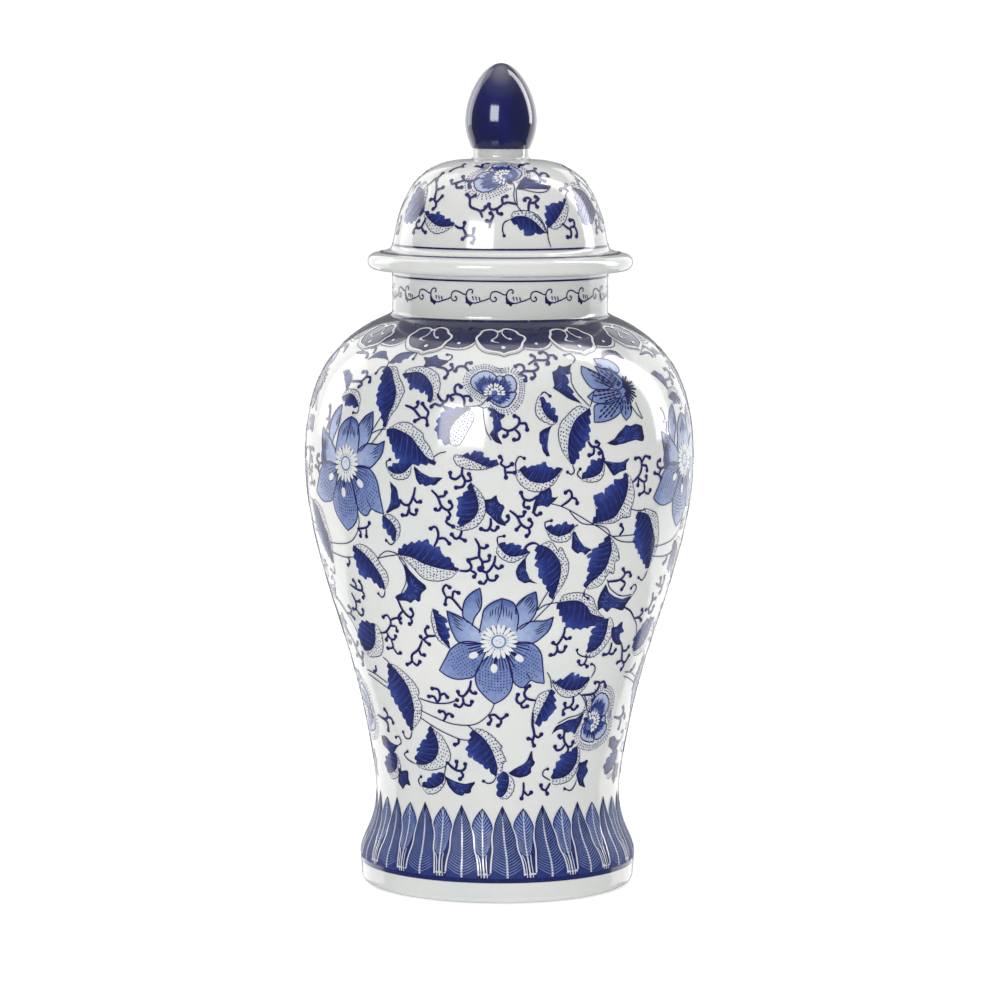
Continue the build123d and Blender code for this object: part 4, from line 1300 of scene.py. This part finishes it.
def collar(art):
    """The near-black band on the shoulder: twelve cloud heads with a scallop between each two."""
    art.dark.fill(((-15, 348), (-15, 321), (-12.4, 322.4), (-10.5, 325), (-9.4, 327.4), (-8.6, 325),
                   (-7.2, 322), (-5.4, 319.6), (-3, 318.2), (0, 317.3), (1.5, 316), (3.2, 317.5),
                   (6, 318.8), (8, 321.2), (8.6, 322.6), (11, 321.6), (15, 321), (15, 348)),
                  NIGHT)
    art.white.stroke(RUYI, 1.25, WHITE, taper=1, end=1)
    art.white.dot(RUYI[0], 1.1, WHITE)
    art.white.dot(RUYI[-1], 1.1, WHITE)
    art.white.stroke(((-0.9, 335.3), (-1.2, 330.8), (-3.3, 327.6), (-2.4, 326.3), (-0.2, 325.4)), 0.75,
                     0.03)
    art.white.dot((-3, 327), 0.9, 0.05)
    art.white.stroke(((0.9, 336), (1, 333.4), (2.7, 329.6), (4.9, 328.2)), 0.75, 0.03)
    art.white.dot((4, 328.8), 0.9, 0.05)
    art.white.dot((1.3, 321.7), 1.15, 0.03)
    art.white.dot((14.1, 324.6), 0.95, 0.03)
    stem(art, ((-15, 319.5), (-12.2, 320.6), (-10.2, 323.2), (-9.6, 324.6)),
         ((8.8, 320.8), (11.4, 320), (15, 319.5)),
         ((-9.7, 326), (-8.2, 321.8), (-6, 318.4), (-3, 316.9), (0, 316.1), (1.5, 314.8), (3.2, 316.2),
          (6.2, 317.5), (8.6, 320.4), (9.6, 323.8), (11, 327)),
         width=0.45)


FOOT_LOW = 17                     # the border's lower edge, and the top of the blue behind the leaves
FOOT_WASH_TOP = 40
DARK_TIP = 2.1                    # where the two tips of one repeat stand, in degrees
PALE_TIP = 9.8 + DARK_TIP


def foot_border(art):
    """Lappets round the foot: a dark leaf and a pale leaf by turns, both edged in white.

    The sides are drawn about the dark leaf's tip, which is then shifted to its place."""
    period = 360 / FOOT_COUNT
    art.wash.fill(((0, FOOT_LOW), (period, FOOT_LOW), (period, FOOT_WASH_TOP), (0, FOOT_WASH_TOP)), 0.9)
    right = ((0, 57.5), (1.3, 54.5), (3.1, 50), (4.9, 45), (6.3, 40), (6.9, 33), (8.2, 28), (9, 22),
             (9.2, 17))
    left = ((0, 57.5), (-1.3, 54), (-2.8, 50), (-4.0, 45), (-4.6, 39), (-4.2, 33), (-4.7, 26), (-4.9, 17))
    right = [(a + DARK_TIP, s) for a, s in smooth(right)]
    left = [(a + DARK_TIP, s) for a, s in smooth(left)]
    art.dark.fill(left + right[::-1], DARK, lambda p: 0.80 + 0.18 * np.clip((p[:, 1] - 20) / 36, 0, 1))
    for side in (left, right):
        art.white.stroke([p for p in side if p[1] < 47.5][::3], 0.85, 0.06, taper=0.5, end=1)
    heights = (51, 44, 36, 28, 17.5)
    middle = [(DARK_TIP + 0.5 * (np.interp(s, *edge_at(left)) + np.interp(s, *edge_at(right))
                                 - 2 * DARK_TIP), s) for s in heights]
    art.white.stroke(middle, 1.0, 0.05, taper=0.3, end=1)
    veins(art, middle, left, right, 18.5, 51, 1.5, 0.42, 0.46)
    pale_lappet(art, PALE_TIP)


def edge_at(side):
    """The heights and angles of a side, rising, for interpolation."""
    rising = sorted((s, a) for a, s in side)
    return [s for s, _ in rising], [a for _, a in rising]


def veins(art, middle, left, right, low, high, pitch, width, tone):
    """Fine veins that rise from a midrib to both sides."""
    mid = edge_at(middle)
    for side in (left, right):
        rim = edge_at(side)
        s = low
        while s < high:
            a0 = np.interp(s, *mid)
            a1 = np.interp(s + 4.6, *rim)
            vein = [(a0, s), (a0 + (a1 - a0) * 0.5, s + 2), (a0 + (a1 - a0) * 0.9, s + 4.4)]
            art.top.stroke(vein, width, tone, taper=1, end=0.5)
            s += pitch


def pale_lappet(art, tip):
    """The pale leaf that shows between two dark ones, on a thin stem."""
    left = smooth(((tip, 56), (tip - 1.8, 53), (tip - 3.9, 49), (tip - 4.6, 45), (tip - 4, 40),
                   (tip - 2.9, 34), (tip - 0.6, 27.5)))
    right = smooth(((tip, 56), (tip + 1.6, 53), (tip + 3.6, 49), (tip + 4.7, 45), (tip + 4.3, 40),
                    (tip + 3.4, 34), (tip + 1.6, 27.5)))
    outline = list(map(tuple, left)) + list(map(tuple, right[::-1]))
    art.wash.rise = 0.04

    def shade(places):
        lower = 0.68 + 0.16 * np.clip((44 - places[:, 1]) / 14, 0, 1)
        return np.where(places[:, 1] > 51.5, 0.9, lower)

    art.wash.fill(outline, MID, shade)
    art.wash.rise = 0
    for side in (left, right):
        inner = [p for p in side if p[1] < 55]
        art.fine.stroke(inner[::3], 0.5, DARK, taper=1, end=1)
    middle = ((tip, 54.5), (tip + 0.2, 45), (tip + 0.6, 34), (tip + 1.1, 26), (tip + 1.8, 17.5))
    art.white.stroke(middle, 0.8, 0.06, taper=0.4, end=1)
    for offset in (-1.25, 1.25):
        stalk = [(a + offset, s) for a, s in middle if s < 30]
        art.white.stroke([(tip + 0.5 + offset * 1.5, 30)] + stalk, 0.5, 0.08, taper=1, end=1)
    veins(art, middle, [tuple(p) for p in left], [tuple(p) for p in right], 29, 51, 1.75, 0.4, 0.3)


NECK_ORIGIN = (4.9, 357.6)


def neck_vine(art):
    """The running vine on the neck: a hooked bud with a dark calyx, then a curl, seventeen times."""
    k = art.skin.radius(360) * DEG

    def at(*points):
        return [(NECK_ORIGIN[0] + x / k, NECK_ORIGIN[1] + y) for x, y in points]

    art.line.stroke(at((11.6, 2.5), (8.9, 1.3), (5.8, 0.4), (3.1, -0.4), (0.4, 0.3), (-1.2, 1.9),
                       (-1.7, 4.1), (-0.9, 6.2), (0.7, 7.2), (2, 6.6), (1.7, 5.3)),
                    0.75, taper=0.9, ball=0.55)
    art.line.stroke(at((11.6, 2.5), (12.2, 1.2), (13.4, 0.5), (14.7, 1), (15.1, 2.3), (14.3, 2.8)), 0.75,
                    ball=0.6)
    art.line.stroke(at((11.6, 2.5), (11.9, 4.6), (13.2, 5.9), (15.3, 6), (17.3, 5.2), (19, 4.3),
                       (20.6, 4.4)),
                    0.75, taper=0.9, end=0.9)
    for x, y in ((1.9, 3.4), (3.7, 3.2), (5.5, 3)):
        art.line.stroke(at((x, y), (x + 0.6, y - 2.4)), 0.7, DEEP, taper=1, end=0.4)
    art.dark.fill(at((-1.7, 4.3), (-2.3, 2.6), (-1.6, 1.2), (-2.8, -0.3), (-0.9, -0.4), (0.6, -2.4),
                     (1.5, -0.8), (3.8, -0.6), (1.6, 0.3), (0.3, 0.6), (-0.8, 1.6), (-1.2, 2.9)),
                  NIGHT)


# ---------------------------------------------------------------- the lid

def lid_sprays(art):
    """A peony on top of the dome with leaves and tendrils round it, three times."""
    peony(art, (-0.8, 69.3), 1.08, 69)
    solid(art,
          ((10, 60), (14, 65), (18, 68.8), (20, 66.6), (22, 66.4), (24, 65.2), (26, 66.4), (28, 62.4),
           (31, 61.6), (35.4, 62.4), (33.4, 60.4), (29, 59.6), (20, 60.2)))
    stem(art, ((10, 60), (15, 59.4), (20, 58), (26, 57.4), (31, 58.6), (35, 62)))
    leaf(art, ((-48.6, 45.4), (-46, 43), (-42, 40.4), (-36, 37.8), (-30, 37.6), (-25.6, 38.4)),
         dark=((-43, 43.6), (-40, 43), (-38.5, 44.8), (-35, 43.2), (-33, 41.4), (-28.6, 40.4)),
         pale=((-46.6, 41), (-43, 36.8), (-38, 33.8), (-32, 34.8), (-28.4, 37)))
    leaf(art, ((5.5, 42), (9, 43.6), (14.6, 43.2), (19, 40.5), (23, 36.4), (25.4, 34.2)),
         dark=((9, 39.8), (11, 37.5), (13.6, 36.2), (14.5, 32.4), (16.6, 34.4), (20, 35), (23.6, 34.6)),
         pale=((7, 45.6), (12, 46.6), (17, 46), (22, 43), (25, 37)),
         hook=((5.5, 42), (2, 40.2), (1.1, 36.4), (2, 33)))
    leaf(art, ((27.1, 37.1), (33, 42), (38.6, 48), (43.4, 53.4)),
         dark=((26.5, 42.9), (28.3, 50), (29.9, 48), (32.1, 51.4), (33.7, 49.4), (36.7, 50.9),
               (39.4, 50.6)),
         pale=((31, 36.6), (36, 38.8), (39.8, 43), (42.6, 49)))
    leaf(art, ((-49, 45), (-52.6, 52), (-57, 57.4), (-66, 60)),
         dark=((-54, 43), (-58, 38.6), (-61, 40.4), (-66, 38), (-69, 44)),
         pale=((-50.4, 49), (-53, 57), (-59, 62), (-65, 63)))
    stem(art, ((27.4, 26.6), (26.2, 31.6), (26.4, 38)),
         ((26.2, 33.4), (24.4, 38), (22, 42), (18.6, 44.8)),
         ((12.4, 46), (9, 50.8), (8, 56), (9, 61.6), (6.6, 65.4)), ((9.8, 49.6), (9.6, 56), (10, 60)),
         ((-49, 45.2), (-51.4, 48.6), (-53, 52.6)), ((43, 53.4), (45, 56.6), (48, 57.8)))
    scroll(art, ((-15, 68), (-20, 65.2), (-26, 65.6), (-28.4, 68.4)),
           ((-26, 65.4), (-30, 63.8), (-34, 62.6), (-36, 65)), ((-31, 63.4), (-29.4, 60.2), (-26, 60.6)),
           ((-20, 65), (-21.6, 62.6), (-20.4, 61)))
    scroll(art, ((-48.4, 63), (-44.8, 58.6), (-43, 52.4), (-40.6, 51.2), (-38, 54.6)),
           ((-44.6, 58.4), (-42, 59.2), (-40.2, 60.2)), ((-43.2, 53), (-46.4, 52.2)),
           ((-41.6, 51), (-40.4, 48.6), (-42.2, 47)))
    scroll(art, ((-25.6, 38.4), (-23.2, 37), (-20.6, 37.2), (-20, 39.8)),
           ((-20.8, 37), (-18.6, 33), (-20.4, 31)), ((-18.6, 33), (-15, 33.2), (-14.6, 36.6)),
           ((-15.2, 33), (-13.8, 31), (-15, 29)))
    scroll(art, ((-10, 42.8), (-12, 46.6), (-17.6, 49), (-18.6, 53.6), (-21, 56)),
           ((-11.8, 46.6), (-9.4, 47.2), (-8.6, 48.8)), ((-18.4, 54), (-15.8, 55.4)))
    scroll(art, ((10, 50.4), (4, 51.6), (1.6, 50.6), (1, 54.4), (3.6, 55.2)),
           ((1.4, 50.6), (-2, 48), (-5.6, 47.6), (-6.8, 50.4)), ((-2, 48), (-1.6, 45.4), (0.4, 45)))
    scroll(art, ((-6, 37), (-5.4, 40.8), (-4, 44), (-5.6, 45.4)), ((-5.4, 40.8), (-7.4, 41)))
    scroll(art, ((16, 46.4), (16.8, 51), (18.4, 53.4), (15.4, 54.4), (14.4, 53)),
           ((17, 51), (20.6, 51.6), (23.6, 54), (21.6, 54.8)), ((20.4, 51.4), (21.6, 49)))
    scroll(art, ((28, 64), (30, 69), (33.4, 71.4), (37.4, 71), (37, 68.8)),
           ((30, 69.4), (28.4, 73.8), (31, 76.2)), ((28.2, 74), (24, 73.6), (22, 73)),
           ((29.6, 67), (31.8, 65.2)))
    scroll(art, ((36, 39.4), (39, 37), (41.4, 35.6), (41, 31.8), (38.6, 31.8)),
           ((41.2, 37), (44.6, 37.8), (44.6, 41), (42, 41)), ((44.8, 37.4), (46, 34), (45, 32)))
    scroll(art, ((48, 57.8), (46.6, 59.6), (43, 60), (41.4, 59)), ((46.8, 59), (47.4, 62), (49.4, 62)))
    scroll(art, ((-46, 42), (-48.6, 36.6), (-52, 36), (-53.6, 38.6), (-51.6, 40)),
           ((-48.4, 36.8), (-46.6, 34.6), (-44.6, 33.8)), ((-52.4, 36.2), (-54.8, 35), (-54.6, 33.4)))
    scroll(art, ((-56, 61), (-53, 65.6), (-50.4, 67), (-50, 70.6)), ((-51, 67), (-49.6, 64.4)))
    scroll(art, ((-34, 77), (-38, 78), (-42, 76), (-44, 73)), ((-38, 78), (-39, 81.4)))
    scroll(art, ((16, 77), (18, 80.4), (20, 81.6)), ((20, 80), (26, 82.6), (30, 83.4)))
    scroll(art, ((-16, 77), (-20, 78.4), (-23, 79)), ((-17, 78), (-18, 82), (-14, 83.6)))


# ---------------------------------------------------------------- putting it together

def decorate(skin, prefix, count, materials, *draw):
    """Draws one part of the decoration, repeats it round the axis and makes its pieces."""
    art = Artwork(skin)
    for step in draw:
        step(art)
    wash, brush, ink_dark, ink_fine, bare = materials
    films = (
        (art.wash, "_washes", wash, "blue_wash"),
        (art.dark, "_cobalt", brush, "cobalt_glaze"),
        (art.grain, "_brushwork", brush, "cobalt_glaze"),
        (art.line, "_outlines", ink_dark, "cobalt_glaze"),
        (art.fine, "_stippling", ink_fine, "cobalt_glaze"),
        (art.white, "_reserve", bare, "white_glaze"),
        (art.top, "_fine_strokes", wash, "blue_wash"))
    for film, name, material, slot in films:
        if film.count:
            film.repeat(count)
            film.piece(prefix + name, material, slot)


def jar_flowers(art):
    """The five flowers of one sector."""
    clematis(art, (0.1, 153.6))
    clematis(art, (-50.2, 250.3))
    side_flower(art)
    peony(art, (-1.8, 295), 1, 0)
    peony(art, (44.7, 104.2), 1.1, -71)


def jar_rings(art):
    art.dark.ring(*FOOT_BAND, DARK)
    for s, width in JAR_RINGS:
        art.line.ring(s, width)


# the lid's blue line, and a dark ring that is painted shade in the brim's groove
def lid_ring_and_groove_shade(art):
    for s, width in LID_RING_AND_GROOVE_SHADE:
        art.line.ring(s, width)


def build_decoration():
    """Every painted piece, on the jar and on the lid. The order fixes the random draws."""
    jar = Skin("jar_body", 0, "jar")
    lid = Skin("lid", LID_LOWEST, "lid", LID_START)
    glossy = (brushed_cobalt("blue_wash", 0.12), brushed_cobalt("cobalt_brush", 0.06),
              ink("cobalt_line", "10115e"), ink("cobalt_stipple", "232c7c"),
              brushed_cobalt("bare_glaze", 0.5))
    dull = (brushed_cobalt("foot_wash", 0.12, glossy=False),
            brushed_cobalt("foot_brush", 0.06, glossy=False))
    decorate(jar, "jar_branches", REPEATS, glossy, upper_leaves, middle_leaves, lower_leaves, stems,
             upper_scrolls, middle_scrolls, lower_scrolls)
    decorate(jar, "jar_flowers", REPEATS, glossy, jar_flowers)
    decorate(jar, "jar_collar", COLLAR_COUNT, glossy, collar)
    decorate(jar, "jar_foot_border", FOOT_COUNT, dull + glossy[2:], foot_border)
    decorate(jar, "jar_neck_vine", NECK_COUNT, glossy, neck_vine)
    decorate(jar, "jar_rings", 1, glossy, jar_rings)
    decorate(lid, "lid_sprays", REPEATS, glossy, lid_sprays)
    decorate(lid, "lid_ring_and_groove_shade", 1, glossy, lid_ring_and_groove_shade)


def glaze_cad_nodes():
    """Porcelain on the jar and the lid, solid cobalt on the finial."""
    white = porcelain()
    blue = cobalt_knob()
    for name, material in (("jar_body", white), ("lid", white), ("finial", blue)):
        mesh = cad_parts[name].data
        for i, old in enumerate(mesh.materials):
            keep_white = name == "finial" and old.name.startswith("white")
            mesh.materials[i] = white if keep_white else material


# ---------------------------------------------------------------- studio

FLOOR_HALF = 2.2                  # metres
FLOOR_GAP = 0.0002                # the floor lies this far under the foot
AIM = (0, 0, 0.25)                # every lamp points here
LAMPS = (                         # name, place, width and height in metres, watts, for gloss only
    ("key_box", (-0.72, -1.78, 0.87), 0.95, 0.85, 26, True),
    ("side_strip", (1.38, 0.58, 1.25), 0.55, 2.3, 26, True),
    ("left_panel", (-1.3, 0.85, 1.1), 0.9, 2.0, 9, True),
    ("back_left", (-2.0, 2.2, 0.6), 3.0, 3.4, 42, True),
    ("back_right", (2.0, 2.2, 0.6), 3.0, 3.4, 42, True),
    ("fill_box", (-0.5, -2.6, 0.8), 2.0, 1.6, 18, False))
SKY = (                           # brightness of the dome, from straight down to straight up
    (0.0, (0.10, 0.102, 0.105, 1)),
    (0.55, (0.12, 0.12, 0.122, 1)),
    (0.8, (0.3, 0.3, 0.3, 1)),
    (1.0, (1, 1, 1, 1)))
DOME_STRENGTH = 2.7
BACKDROP_STRENGTH = 1.05
CAMERA_PLACE = (0, -2.5, 0.487)
CAMERA_PITCH = 6.228              # degrees down
CAMERA_ROLL = -0.28
LENS = 162.2                      # on a 36 mm sensor


def studio_floor():
    """A pale floor that the glaze doesn't mirror."""
    material = bpy.data.materials.new("studio_paper")
    material.use_nodes = True
    shader = material.node_tree.nodes["Principled BSDF"]
    shader.inputs["Base Color"].default_value = (0.92, 0.92, 0.92, 1)
    shader.inputs["Roughness"].default_value = 0.9
    shader.inputs["Emission Color"].default_value = (1, 1, 1, 1)
    shader.inputs["Emission Strength"].default_value = 0.35
    mesh = bpy.data.meshes.new("studio_floor")
    corners = [(x * FLOOR_HALF, y * FLOOR_HALF, 0) for x, y in ((-1, -1), (1, -1), (1, 1), (-1, 1))]
    mesh.from_pydata(corners, [], [(0, 1, 2, 3)])
    mesh.materials.append(material)
    floor = bpy.data.objects.new("studio_floor", mesh)
    bpy.context.scene.collection.objects.link(floor)
    floor.location.z = CAD_BOX[0][2] - FLOOR_GAP
    floor.visible_glossy = False


def soft_box(name, place, width, height, power, gloss):
    """An area light. One made for gloss only is a bright panel that the glaze mirrors."""
    light = bpy.data.lights.new(name, "AREA")
    light.shape = "RECTANGLE"
    light.size = width
    light.size_y = height
    light.energy = power
    lamp = bpy.data.objects.new(name, light)
    lamp.location = place
    lamp.rotation_euler = (Vector(AIM) - Vector(place)).to_track_quat("-Z", "Y").to_euler()
    lamp.visible_diffuse = not gloss
    lamp.visible_glossy = gloss
    bpy.context.scene.collection.objects.link(lamp)


def studio_light():
    """The lamps, a dim dome for the glaze to mirror, and a white backdrop for the camera."""
    world = bpy.data.worlds.new("studio")
    world.use_nodes = True
    nodes, links = world.node_tree.nodes, world.node_tree.links
    backdrop = nodes["Background"]
    backdrop.inputs["Color"].default_value = (1, 1, 1, 1)
    backdrop.inputs["Strength"].default_value = BACKDROP_STRENGTH
    dome = nodes.new("ShaderNodeBackground")
    place = nodes.new("ShaderNodeTexCoord")
    height = nodes.new("ShaderNodeSeparateXYZ")
    links.new(place.outputs["Generated"], height.inputs["Vector"])
    sky = ramp(nodes, links, height.outputs["Z"], SKY)
    links.new(sky, dome.inputs["Color"])
    dome.inputs["Strength"].default_value = DOME_STRENGTH
    seen = nodes.new("ShaderNodeLightPath")
    mix = nodes.new("ShaderNodeMixShader")
    links.new(seen.outputs["Is Camera Ray"], mix.inputs["Fac"])
    links.new(dome.outputs["Background"], mix.inputs[1])
    links.new(backdrop.outputs["Background"], mix.inputs[2])
    links.new(mix.outputs["Shader"], nodes["World Output"].inputs["Surface"])
    bpy.context.scene.world = world
    for lamp in LAMPS:
        soft_box(*lamp)


def studio_camera():
    """The photograph's view."""
    camera_data = bpy.data.cameras.new("camera")
    camera = bpy.data.objects.new("camera", camera_data)
    bpy.context.scene.collection.objects.link(camera)
    camera_data.sensor_width = 36
    camera_data.lens = LENS
    camera_data.shift_x = -0.0015
    camera.location = CAMERA_PLACE
    camera.rotation_euler = ((90 - CAMERA_PITCH) * DEG, CAMERA_ROLL * DEG, 0)
    bpy.context.scene.camera = camera
    bpy.context.scene.view_settings.view_transform = "Standard"


studio_camera()
studio_light()
studio_floor()
glaze_cad_nodes()
build_decoration()
